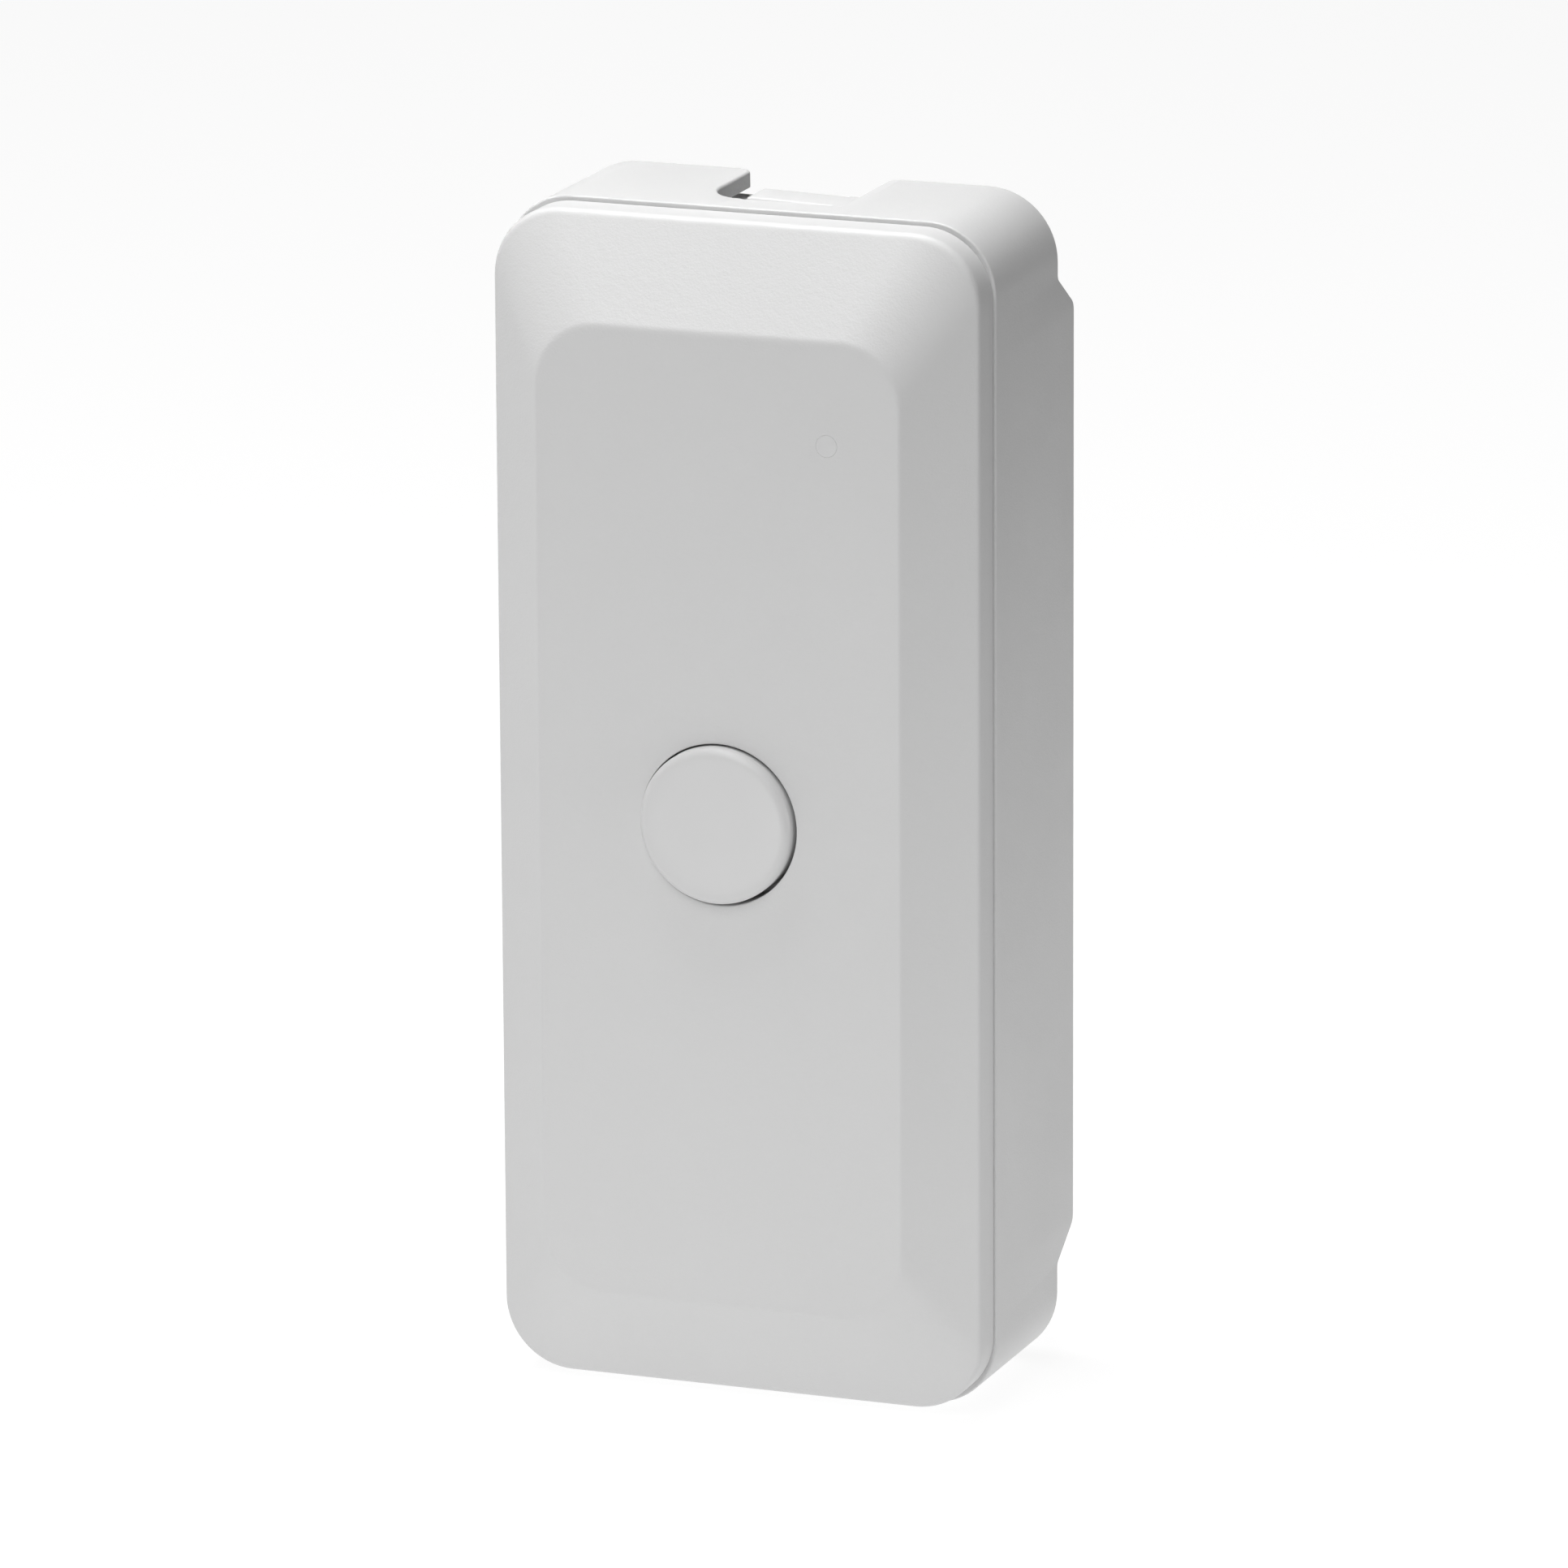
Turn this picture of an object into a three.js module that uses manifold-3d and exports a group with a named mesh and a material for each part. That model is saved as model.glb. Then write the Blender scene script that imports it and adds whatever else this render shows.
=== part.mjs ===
// A wireless doorbell push button in millimetres: +Z is up, the visitor stands at -Y,
// and the origin is the centre of the flat rear pad that lies on the wall (the plane y = 0).
import * as THREE from 'three';
import { mergeVertices } from 'three/addons/utils/BufferGeometryUtils.js';
import { LoftGeometry } from 'three/addons/geometries/LoftGeometry.js';
import Module from 'manifold-3d';

const wasm = await Module();
wasm.setup();

// ---- Driving dimensions -------------------------------------------------------------

const WIDTH = 34.27;
const HEIGHT = 80;
const DEPTH = 21.11;
const CORNER_RADIUS = 4.75;
const SIDE_WALL = 1.2;
const END_WALL = 1.1;
const FIT_GAP = 0.05;

// Front cover: a flat plateau with four sloping flanks and a short straight skirt.
const PLATEAU_HALF_WIDTH = 12.65;
const PLATEAU_HALF_HEIGHT = 32.82;
const PLATEAU_RADIUS = 4.3;
const FLANK_DEPTH = 3.57;
const SKIRT_DEPTH = 2.49;
const COVER_INSET = 0.2;
const COVER_WALL = 1.2;
const PARTING_GAP = 0.15;
const TONGUE_WALL = 0.9;
const TONGUE_GAP = 0.14;
const TONGUE_REACH = 1.75;
const PLATEAU_Y = -DEPTH;
const RIM_Y = PLATEAU_Y + FLANK_DEPTH;
const PARTING_Y = RIM_Y + SKIRT_DEPTH;
const CEILING_Y = PLATEAU_Y + COVER_WALL;

// Rear housing: the middle pad lies on the wall, and both ends are stepped clear of it.
const PAD_TOP = 31.9;
const PAD_BOTTOM = -31.1;
const STEP_RUN = 2.2;
const STEP_DEPTH = 3.14;
const BACK_WALL = 1.2;
const FLOOR_Y = -BACK_WALL;
const CAVITY_HALF_WIDTH = WIDTH / 2 - SIDE_WALL;
const CAVITY_HALF_HEIGHT = HEIGHT / 2 - END_WALL;

// Wall-screw holes through the rear pad.
const SCREW_HOLE_RADIUS = 1.9;
const SCREW_RING_RADIUS = 3.15;
const WALL_SCREWS = [
  { x: 0, z: 27.6 },
  { x: 12.45, z: -20 },
  { x: -12.45, z: -20 },
];

// Release notch in the top wall, and the flexible tab that fills its front right part.
const NOTCH_LEFT = -4.2;
const NOTCH_RIGHT = 5.6;
const NOTCH_FRONT_Y = -12.54;
const NOTCH_INNER_RADIUS = 3.5;
const NOTCH_OUTER_RADIUS = 0.8;
const TAB_FREE_END = -1.2;
const TAB_ROOT = 5.5;
const TAB_BACK_Y = -9.34;
const TAB_RAISE = 0.18;
const POCKET_LEFT = -6.5;
const POCKET_RIGHT = 7.6;
const POCKET_FRONT_Y = -8.64;
const POCKET_FLOOR_Z = 36.2;
const POCKET_SILL_Z = 38.3;
const POCKET_WALL = 0.7;

// Push button.
const BUTTON_HOLE_RADIUS = 5.46;
const BUTTON_RADIUS = 5.27;
const BUTTON_PROUD = 0.9;
const BUTTON_FILLET = 0.85;
const BUTTON_GUIDE_Y = -18.44;
const BUTTON_FLANGE_RADIUS = 6.4;
const BUTTON_STEM_RADIUS = 1.6;
const BUTTON_STEM_END_Y = -15.09;

// Status light pipe.
const PIPE_X = 7.65;
const PIPE_Z = 26;
const PIPE_RADIUS = 0.73;
const PIPE_BODY_RADIUS = 1.3;
const PIPE_END_Y = -12.1;

// Circuit board.
const BOARD_FRONT_Y = -9.54;
const BOARD_THICKNESS = 1.2;
const BOARD_BACK_Y = BOARD_FRONT_Y + BOARD_THICKNESS;
const BOARD_HALF_WIDTH = 13.4;
const BOARD_BOTTOM = -5.6;
const BOARD_TOP = 34;
const BOARD_NOTCH_HALF_WIDTH = 4.6;
const BOARD_NOTCH_BOTTOM = 23.2;
const BOARD_SCREWS = [
  { x: -10.8, z: 30.2 },
  { x: 10.8, z: -1.6 },
];
const BOARD_PINS = [
  { x: 10.8, z: 30.2 },
  { x: -10.8, z: -1.6 },
];
const CONTACT_TAIL_TOP = -4;
const BOSS_RADIUS = 2.4;
const PIN_RADIUS = 0.9;

// Tactile switch behind the button.
const SWITCH_HALF = 3;
const SWITCH_FRONT_Y = -12.99;
const SWITCH_PLATE = 0.3;
const PLUNGER_TIP_Y = -14.74;
const PLUNGER_RADIUS = 1.75;
const LEG_X = 3.5;
const LEG_Z = 2.25;

// Half-AA cell in its cradle, below the board.
const CELL_RADIUS = 7.25;
const CELL_BOTTOM = -32;
const CELL_LENGTH = 25;
const CELL_Y = -10.24;
const CELL_NUB_LENGTH = 1.2;
const CELL_SHOULDER = CELL_BOTTOM + CELL_LENGTH - CELL_NUB_LENGTH;
const CRADLE_HALF_WIDTH = 8.7;
const CRADLE_BOTTOM = -36.4;
const CRADLE_TOP = -5.85;
const CRADLE_EDGE_Y = -9.3;
const CRADLE_END_WALL = 0.75;
const CONTACT_THICKNESS = 0.3;

// ---- Solids -------------------------------------------------------------------------

/** Turns a closed three.js geometry into a solid that can be cut and joined. */
function solid(geometry) {
  const bare = geometry.index ? geometry.toNonIndexed() : geometry.clone();
  bare.deleteAttribute('normal');
  bare.deleteAttribute('uv');
  const merged = mergeVertices(bare, 1e-4);
  const corners = [];
  for (let i = 0; i < merged.index.count; i += 3) {
    const [a, b, c] = [0, 1, 2].map((k) => merged.index.getX(i + k));
    if (a !== b && b !== c && c !== a) corners.push(a, b, c);
  }
  return new wasm.Manifold(new wasm.Mesh({
    numProp: 3,
    vertProperties: merged.attributes.position.array,
    triVerts: Uint32Array.from(corners),
  }));
}

/** Turns a solid back into a geometry with flat-shaded faces. */
function geometryOf(body) {
  const mesh = body.getMesh();
  const geometry = new THREE.BufferGeometry();
  geometry.setAttribute('position', new THREE.BufferAttribute(mesh.vertProperties, 3));
  geometry.setIndex(new THREE.BufferAttribute(mesh.triVerts, 1));
  return geometry;
}

function join(...bodies) {
  return bodies.reduce((whole, body) => whole.add(body));
}

function cut(body, ...tools) {
  return tools.reduce((left, tool) => left.subtract(tool), body);
}

/** A box between two opposite corners, given as [from, to] along each axis. */
function block([x0, x1], [y0, y1], [z0, z1]) {
  const box = new THREE.BoxGeometry(x1 - x0, y1 - y0, z1 - z0);
  box.translate((x0 + x1) / 2, (y0 + y1) / 2, (z0 + z1) / 2);
  return solid(box);
}

/** A round rod that runs front to back at (x, z). */
function rod(radius, [y0, y1], { x = 0, z = 0 } = {}, sides = 32) {
  const cylinder = new THREE.CylinderGeometry(radius, radius, y1 - y0, sides);
  cylinder.translate(x, (y0 + y1) / 2, z);
  return solid(cylinder);
}

/** A body turned about the front-to-back axis at (x, z), from [radius, y] points. */
function turned(points, { x = 0, z = 0 } = {}, sides = 48) {
  const lathe = new THREE.LatheGeometry(points.map(([r, y]) => new THREE.Vector2(r, y)), sides);
  lathe.translate(x, 0, z);
  return solid(lathe);
}

/** A body turned about the cell's upright axis, from [radius, z] points. */
function turnedUpright(points, sides = 40) {
  const lathe = new THREE.LatheGeometry(points.map(([r, z]) => new THREE.Vector2(r, z)), sides);
  lathe.rotateX(Math.PI / 2);
  lathe.translate(0, CELL_Y, 0);
  return solid(lathe);
}

/** A flat outline in (x, z) given thickness from y0 at the front to y1 at the back. */
function slab(shape, [y0, y1], curveSegments = 8) {
  const plate = new THREE.ExtrudeGeometry(shape, { depth: y1 - y0, bevelEnabled: false, curveSegments });
  plate.rotateX(Math.PI / 2);
  plate.translate(0, y1, 0);
  return solid(plate);
}

/** An outline in (x, y) raised from z0 to z1. */
function raised(shape, [z0, z1], curveSegments = 8) {
  const plate = new THREE.ExtrudeGeometry(shape, { depth: z1 - z0, bevelEnabled: false, curveSegments });
  plate.translate(0, 0, z0);
  return solid(plate);
}

/** An outline in (y, z) swept across x0 to x1. */
function swept(shape, [x0, x1]) {
  const bar = new THREE.ExtrudeGeometry(shape, { depth: x1 - x0, bevelEnabled: false });
  const across = new THREE.Matrix4().makeBasis(
    new THREE.Vector3(0, 1, 0),
    new THREE.Vector3(0, 0, 1),
    new THREE.Vector3(1, 0, 0),
  );
  bar.applyMatrix4(across);
  bar.translate(x0, 0, 0);
  return solid(bar);
}

/** A thin wire swept along a curve, six-sided in section. */
function wire(curve, radius, steps) {
  const section = new THREE.Shape();
  section.absarc(0, 0, radius, 0, 2 * Math.PI, false);
  return solid(new THREE.ExtrudeGeometry(section, { steps, extrudePath: curve, curveSegments: 3 }));
}

/** The points of a rounded rectangle in the plane y, wound for a loft that runs backwards. */
function roundedRing(halfWidth, halfHeight, radius, y, cornerSteps = 7) {
  const points = [];
  for (let corner = 0; corner < 4; corner += 1) {
    const middle = (corner + 0.5) * (Math.PI / 2);
    const centreX = -Math.sign(Math.cos(middle)) * (halfWidth - radius);
    const centreZ = Math.sign(Math.sin(middle)) * (halfHeight - radius);
    for (let step = 0; step <= cornerSteps; step += 1) {
      const angle = (corner + step / cornerSteps) * (Math.PI / 2);
      const x = centreX - radius * Math.cos(angle);
      const z = centreZ + radius * Math.sin(angle);
      points.push(new THREE.Vector3(x, y, z));
    }
  }
  return points;
}

/** A solid lofted from front to back through rounded rectangles [halfWidth, halfHeight, radius, y]. */
function roundedLoft(...sections) {
  const rings = sections.map(([halfWidth, halfHeight, radius, y]) => (
    roundedRing(halfWidth, halfHeight, radius, y)
  ));
  return solid(new LoftGeometry(rings, { capStart: true, capEnd: true }));
}

// ---- Materials ----------------------------------------------------------------------

function material(color, roughness, metalness = 0) {
  return new THREE.MeshStandardMaterial({ color, roughness, metalness });
}

const whiteShell = () => material(0xe4e4e3, 0.55);
const whiteButton = () => material(0xe9e9e8, 0.42);
const clearPipe = () => material(0xe6e8e8, 0.2);
const blackPlastic = () => material(0x1d1d1f, 0.5);
const greyPlastic = () => material(0x55585c, 0.55);
const boardMask = () => material(0x1f5b39, 0.4);
const tinPlate = () => material(0xc4c6c8, 0.3, 1);
const copperWire = () => material(0xb87346, 0.3, 1);
const steel = () => material(0xa9abad, 0.32, 1);
const cellSleeve = () => material(0x2f6f8f, 0.35);
const chipResin = () => material(0x232325, 0.6);
const ceramic = () => material(0x9a7b58, 0.5);
const lens = () => material(0xf2efe4, 0.15);

// ---- Shared outlines ----------------------------------------------------------------

/** The side outline (y, z) of the housing's rear, kept `inset` inside the outer surface. */
function rearOutline(inset) {
  const front = -DEPTH - 1;
  const top = HEIGHT / 2 + 1;
  const pad = -inset;
  const end = -STEP_DEPTH - inset;
  const lean = inset * 0.4;
  const upper = PAD_TOP - lean;
  const lower = PAD_BOTTOM + lean;
  const outline = new THREE.Shape();
  outline.moveTo(front, -top);
  outline.lineTo(end, -top);
  outline.lineTo(end, lower - STEP_RUN);
  outline.lineTo(pad, lower);
  outline.lineTo(pad, upper);
  outline.lineTo(end, upper + STEP_RUN);
  outline.lineTo(end, top);
  outline.lineTo(front, top);
  outline.closePath();
  return outline;
}

/** Everything in front of the rear outline, as wide as the housing. */
function behindLimit(inset) {
  return swept(rearOutline(inset), [-WIDTH, WIDTH]);
}

/** The notch seen from above (x, y): one hollow front corner and two rounded rear lips. */
function notchOutline() {
  const lip = NOTCH_OUTER_RADIUS;
  const back = -STEP_DEPTH;
  const beyond = back + 2;
  const outline = new THREE.Shape();
  outline.moveTo(NOTCH_LEFT + NOTCH_INNER_RADIUS, NOTCH_FRONT_Y);
  outline.lineTo(NOTCH_RIGHT, NOTCH_FRONT_Y);
  outline.lineTo(NOTCH_RIGHT, back - lip);
  outline.absarc(NOTCH_RIGHT + lip, back - lip, lip, Math.PI, Math.PI / 2, true);
  outline.lineTo(NOTCH_RIGHT + lip, beyond);
  outline.lineTo(NOTCH_LEFT - lip, beyond);
  outline.lineTo(NOTCH_LEFT - lip, back);
  outline.absarc(NOTCH_LEFT - lip, back - lip, lip, Math.PI / 2, 0, true);
  outline.lineTo(NOTCH_LEFT, NOTCH_FRONT_Y + NOTCH_INNER_RADIUS);
  outline.absarc(
    NOTCH_LEFT + NOTCH_INNER_RADIUS,
    NOTCH_FRONT_Y + NOTCH_INNER_RADIUS,
    NOTCH_INNER_RADIUS,
    Math.PI,
    1.5 * Math.PI,
    false,
  );
  return outline;
}

// ---- Front cover and what rides on it -----------------------------------------------

/** The half sizes [x, z] of the flank surface at the depth y. */
function flankAt(y) {
  const down = (y - PLATEAU_Y) / FLANK_DEPTH;
  const rimHalfWidth = WIDTH / 2 - COVER_INSET;
  const rimHalfHeight = HEIGHT / 2 - COVER_INSET - 0.13;
  return [
    PLATEAU_HALF_WIDTH + (rimHalfWidth - PLATEAU_HALF_WIDTH) * down,
    PLATEAU_HALF_HEIGHT + (rimHalfHeight - PLATEAU_HALF_HEIGHT) * down,
  ];
}

function coverOutside() {
  const [rimX, rimZ] = flankAt(RIM_Y);
  const [brokenX, brokenZ] = flankAt(RIM_Y - 0.35);
  const [shoulderX, shoulderZ] = flankAt(PLATEAU_Y + 0.28);
  return roundedLoft(
    [PLATEAU_HALF_WIDTH - 0.35, PLATEAU_HALF_HEIGHT - 0.5, PLATEAU_RADIUS - 0.2, PLATEAU_Y],
    [shoulderX - 0.05, shoulderZ - 0.08, PLATEAU_RADIUS, PLATEAU_Y + 0.24],
    [brokenX - 0.04, brokenZ - 0.06, CORNER_RADIUS - 0.25, RIM_Y - 0.33],
    [rimX - 0.03, rimZ - 0.03, CORNER_RADIUS - 0.05, RIM_Y + 0.28],
    [rimX, rimZ, CORNER_RADIUS - 0.05, PARTING_Y - PARTING_GAP],
  );
}

function coverTongue() {
  const halfWidth = CAVITY_HALF_WIDTH - TONGUE_GAP;
  const halfHeight = CAVITY_HALF_HEIGHT - TONGUE_GAP;
  const radius = CORNER_RADIUS - SIDE_WALL;
  const start = PARTING_Y - 0.6;
  const end = PARTING_Y + TONGUE_REACH;
  return roundedLoft([halfWidth, halfHeight, radius, start], [halfWidth, halfHeight, radius, end]);
}

function coverHollow() {
  const rimHalfWidth = CAVITY_HALF_WIDTH - TONGUE_GAP - TONGUE_WALL;
  const rimHalfHeight = CAVITY_HALF_HEIGHT - TONGUE_GAP - TONGUE_WALL;
  const end = PARTING_Y + TONGUE_REACH + 1;
  return roundedLoft(
    [PLATEAU_HALF_WIDTH - 0.6, PLATEAU_HALF_HEIGHT - 0.7, 3.6, CEILING_Y],
    [rimHalfWidth, rimHalfHeight, 2.8, RIM_Y + 0.1],
    [rimHalfWidth, rimHalfHeight, 2.8, end],
  );
}

/** Low ribs across the inside of the plateau that keep it flat. */
function coverRibs() {
  return [-24, -15, 15, 21].map((z) => (
    block([-12.4, 12.4], [CEILING_Y - 0.4, CEILING_Y + 0.8], [z - 0.4, z + 0.4])
  ));
}

/** The finger that reaches under the release tab, and its root in the tongue. */
function latchFinger() {
  const [left, right] = [-0.8, 3.4];
  const root = block([left, right], [PARTING_Y - 0.6, PARTING_Y + TONGUE_REACH], [36.9, 38.6]);
  const finger = block([left, right], [PARTING_Y, NOTCH_FRONT_Y + 2.3], [36.9, 37.95]);
  return join(root, finger);
}

function frontCover() {
  const guide = rod(BUTTON_HOLE_RADIUS + 1.4, [CEILING_Y - 0.4, BUTTON_GUIDE_Y], {}, 48);
  const pipeAt = { x: PIPE_X, z: PIPE_Z };
  const pipeBoss = rod(PIPE_BODY_RADIUS + 1, [CEILING_Y - 0.4, RIM_Y + 0.6], pipeAt);
  const shell = cut(join(coverOutside(), coverTongue()), coverHollow());
  const fitted = join(shell, guide, pipeBoss, latchFinger(), ...coverRibs());
  const buttonBore = rod(BUTTON_HOLE_RADIUS, [PLATEAU_Y - 1, BUTTON_GUIDE_Y + 1], {}, 64);
  const pipeBore = rod(PIPE_RADIUS + FIT_GAP, [PLATEAU_Y - 1, CEILING_Y + 1], pipeAt, 24);
  const pipeSocket = rod(PIPE_BODY_RADIUS + FIT_GAP, [CEILING_Y, RIM_Y + 2], pipeAt, 32);
  return cut(fitted, buttonBore, pipeBore, pipeSocket);
}

function lightPipe() {
  const shoulderY = CEILING_Y + FIT_GAP;
  return turned([
    [0, PLATEAU_Y],
    [PIPE_RADIUS, PLATEAU_Y],
    [PIPE_RADIUS, shoulderY],
    [PIPE_BODY_RADIUS, shoulderY],
    [PIPE_BODY_RADIUS, PIPE_END_Y],
    [0, PIPE_END_Y],
  ], { x: PIPE_X, z: PIPE_Z }, 24);
}

/** A quarter-round edge from a front face to a side, as [radius, y] points. */
function roundedEdge(radius, frontY, fillet, steps = 4) {
  return Array.from({ length: steps + 1 }, (_, step) => {
    const angle = (step / steps) * (Math.PI / 2);
    const r = radius - fillet + fillet * Math.sin(angle);
    return [r, frontY + fillet - fillet * Math.cos(angle)];
  });
}

function pushButton() {
  const faceY = PLATEAU_Y - BUTTON_PROUD;
  const flangeY = BUTTON_GUIDE_Y + PARTING_GAP;
  const flangeBackY = flangeY + 0.8;
  const hollowRadius = BUTTON_RADIUS - 1;
  const hollowY = faceY + 1.2;
  return turned([
    [0, faceY],
    ...roundedEdge(BUTTON_RADIUS, faceY, BUTTON_FILLET),
    [BUTTON_RADIUS, flangeY],
    [BUTTON_FLANGE_RADIUS, flangeY],
    [BUTTON_FLANGE_RADIUS, flangeBackY],
    [hollowRadius, flangeBackY],
    [hollowRadius, hollowY],
    [BUTTON_STEM_RADIUS, hollowY],
    [BUTTON_STEM_RADIUS, BUTTON_STEM_END_Y],
    [0, BUTTON_STEM_END_Y],
  ]);
}

// ---- Rear housing and its release tab -----------------------------------------------

function housingOutside() {
  const halfWidth = WIDTH / 2;
  const halfHeight = HEIGHT / 2;
  const loft = roundedLoft(
    [halfWidth - 0.18, halfHeight - 0.18, CORNER_RADIUS - 0.18, PARTING_Y],
    [halfWidth, halfHeight, CORNER_RADIUS, PARTING_Y + 0.22],
    [halfWidth, halfHeight, CORNER_RADIUS, 0],
  );
  return loft.intersect(behindLimit(0));
}

function housingHollow() {
  const radius = CORNER_RADIUS - SIDE_WALL;
  const loft = roundedLoft(
    [CAVITY_HALF_WIDTH, CAVITY_HALF_HEIGHT, radius, PARTING_Y - 1],
    [CAVITY_HALF_WIDTH, CAVITY_HALF_HEIGHT, radius, 0],
  );
  return loft.intersect(behindLimit(BACK_WALL));
}

/** Hollow bosses for the board screws and solid posts with locating pins. */
function boardSupports() {
  const foot = FLOOR_Y + 0.4;
  const seat = BOARD_BACK_Y + FIT_GAP;
  const bosses = BOARD_SCREWS.map((at) => cut(
    rod(BOSS_RADIUS, [seat, foot], at, 24),
    rod(1.15, [seat - 1, seat + 5.4], at, 16),
  ));
  const posts = BOARD_PINS.map((at) => join(
    rod(BOSS_RADIUS - 0.4, [seat, foot], at, 24),
    rod(PIN_RADIUS, [BOARD_FRONT_Y - 0.5, seat + 1], at, 16),
  ));
  return [...bosses, ...posts];
}

/** The closed lining behind the release notch. */
function pocketLining() {
  const outer = block(
    [POCKET_LEFT - POCKET_WALL, POCKET_RIGHT + POCKET_WALL],
    [POCKET_FRONT_Y - POCKET_WALL + 0.1, -STEP_DEPTH - 0.6],
    [POCKET_FLOOR_Z - POCKET_WALL, HEIGHT / 2 - 0.6],
  );
  const inner = block(
    [POCKET_LEFT, POCKET_RIGHT],
    [POCKET_FRONT_Y, -STEP_DEPTH - BACK_WALL],
    [POCKET_FLOOR_Z, CAVITY_HALF_HEIGHT],
  );
  const clearOfTab = block([-10, TAB_ROOT + 0.3], [-11, POCKET_FRONT_Y + 0.1], [38.2, 39]);
  return cut(outer, inner, clearOfTab);
}

function rearHousing() {
  const shell = cut(housingOutside(), housingHollow());
  const rings = WALL_SCREWS.map((at) => rod(SCREW_RING_RADIUS, [FLOOR_Y - 1, FLOOR_Y + 0.4], at, 32));
  const fitted = join(shell, pocketLining(), ...boardSupports(), ...rings);
  const holes = WALL_SCREWS.map((at) => rod(SCREW_HOLE_RADIUS, [FLOOR_Y - 2, 1], at, 24));
  const notch = raised(notchOutline(), [CAVITY_HALF_HEIGHT - 0.1, HEIGHT / 2 + 1]);
  const sill = block(
    [POCKET_LEFT, POCKET_RIGHT],
    [-STEP_DEPTH - BACK_WALL - 0.1, 1],
    [POCKET_SILL_Z, CAVITY_HALF_HEIGHT],
  );
  return cut(fitted, notch, sill, ...holes);
}

/** A springy tongue of the top wall: its free end is at the left and its barb hangs below. */
function releaseTab() {
  const underside = CAVITY_HALF_HEIGHT;
  const top = HEIGHT / 2;
  const outline = new THREE.Shape();
  outline.moveTo(TAB_FREE_END, underside);
  outline.lineTo(TAB_ROOT, underside);
  outline.lineTo(TAB_ROOT, top);
  outline.lineTo(TAB_FREE_END, top + TAB_RAISE);
  outline.closePath();
  const blade = slab(outline, [NOTCH_FRONT_Y + FIT_GAP, TAB_BACK_Y]);
  const ramp = new THREE.Shape();
  ramp.moveTo(NOTCH_FRONT_Y + 0.4, underside + 0.1);
  ramp.lineTo(NOTCH_FRONT_Y + 1.6, underside - 0.5);
  ramp.lineTo(NOTCH_FRONT_Y + 2.2, underside - 0.5);
  ramp.lineTo(NOTCH_FRONT_Y + 2.2, underside + 0.1);
  ramp.closePath();
  return join(blade, swept(ramp, [-0.6, 3.2]));
}

// ---- Circuit board and its components -----------------------------------------------

function boardOutline() {
  const r = 1;
  const [w, bottom, top] = [BOARD_HALF_WIDTH, BOARD_BOTTOM, BOARD_TOP];
  const outline = new THREE.Shape();
  outline.moveTo(-w + r, bottom);
  outline.lineTo(w - r, bottom);
  outline.absarc(w - r, bottom + r, r, -Math.PI / 2, 0, false);
  outline.lineTo(w, top - r);
  outline.absarc(w - r, top - r, r, 0, Math.PI / 2, false);
  outline.lineTo(BOARD_NOTCH_HALF_WIDTH, top);
  outline.lineTo(BOARD_NOTCH_HALF_WIDTH, BOARD_NOTCH_BOTTOM);
  outline.lineTo(-BOARD_NOTCH_HALF_WIDTH, BOARD_NOTCH_BOTTOM);
  outline.lineTo(-BOARD_NOTCH_HALF_WIDTH, top);
  outline.lineTo(-w + r, top);
  outline.absarc(-w + r, top - r, r, Math.PI / 2, Math.PI, false);
  outline.lineTo(-w, bottom + r);
  outline.absarc(-w + r, bottom + r, r, Math.PI, 1.5 * Math.PI, false);
  return outline;
}

/** The four places where the switch legs pass through the board. */
function legPlaces() {
  return [-1, 1].flatMap((side) => [-1, 1].map((end) => ({ x: side * LEG_X, z: end * LEG_Z })));
}

function circuitBoard() {
  const plate = slab(boardOutline(), [BOARD_FRONT_Y, BOARD_BACK_Y], 4);
  const through = [BOARD_FRONT_Y - 1, BOARD_BACK_Y + 1];
  const screwHoles = BOARD_SCREWS.map((at) => rod(1.3, through, at, 16));
  const pinHoles = BOARD_PINS.map((at) => rod(PIN_RADIUS + 0.1, through, at, 16));
  const legHoles = legPlaces().map((at) => rod(0.6, through, at, 10));
  return cut(plate, ...screwHoles, ...pinHoles, ...legHoles);
}

/** A pan-head screw with a cross recess, seated on the board. */
function boardScrew({ x, z }) {
  const seat = BOARD_FRONT_Y - FIT_GAP;
  const crown = seat - 1.5;
  const headRadius = 2.1;
  const body = turned([
    [0, crown],
    [headRadius * 0.7, crown + 0.1],
    [headRadius, crown + 0.7],
    [headRadius, seat],
    [1, seat],
    [1, seat + 5],
    [0.3, seat + 6],
    [0, seat + 6],
  ], { x, z }, 20);
  const recess = [crown - 1, crown + 0.9];
  const upright = block([x - 0.25, x + 0.25], recess, [z - 1.1, z + 1.1]);
  const level = block([x - 1.1, x + 1.1], recess, [z - 0.25, z + 0.25]);
  return cut(body, upright, level);
}

function switchBase() {
  const half = SWITCH_HALF;
  const body = block([-half, half], [SWITCH_FRONT_Y, BOARD_FRONT_Y - FIT_GAP], [-half, half]);
  return cut(body, rod(2.6, [SWITCH_FRONT_Y - 1, SWITCH_FRONT_Y + 1.3]));
}

/** The metal plate over the switch, with a folded ear down each side. */
function switchPlate() {
  const half = SWITCH_HALF;
  const backY = SWITCH_FRONT_Y - FIT_GAP;
  const frontY = backY - SWITCH_PLATE;
  const plate = block([-half - 0.25, half + 0.25], [frontY, backY], [-half, half]);
  const ears = [-1, 1].map((side) => {
    const [inner, outer] = [side * (half + FIT_GAP), side * (half + 0.25)];
    return block([Math.min(inner, outer), Math.max(inner, outer)], [frontY, backY + 1.2], [-1, 1]);
  });
  return cut(join(plate, ...ears), rod(PLUNGER_RADIUS + 0.2, [frontY - 1, backY + 1]));
}

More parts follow.
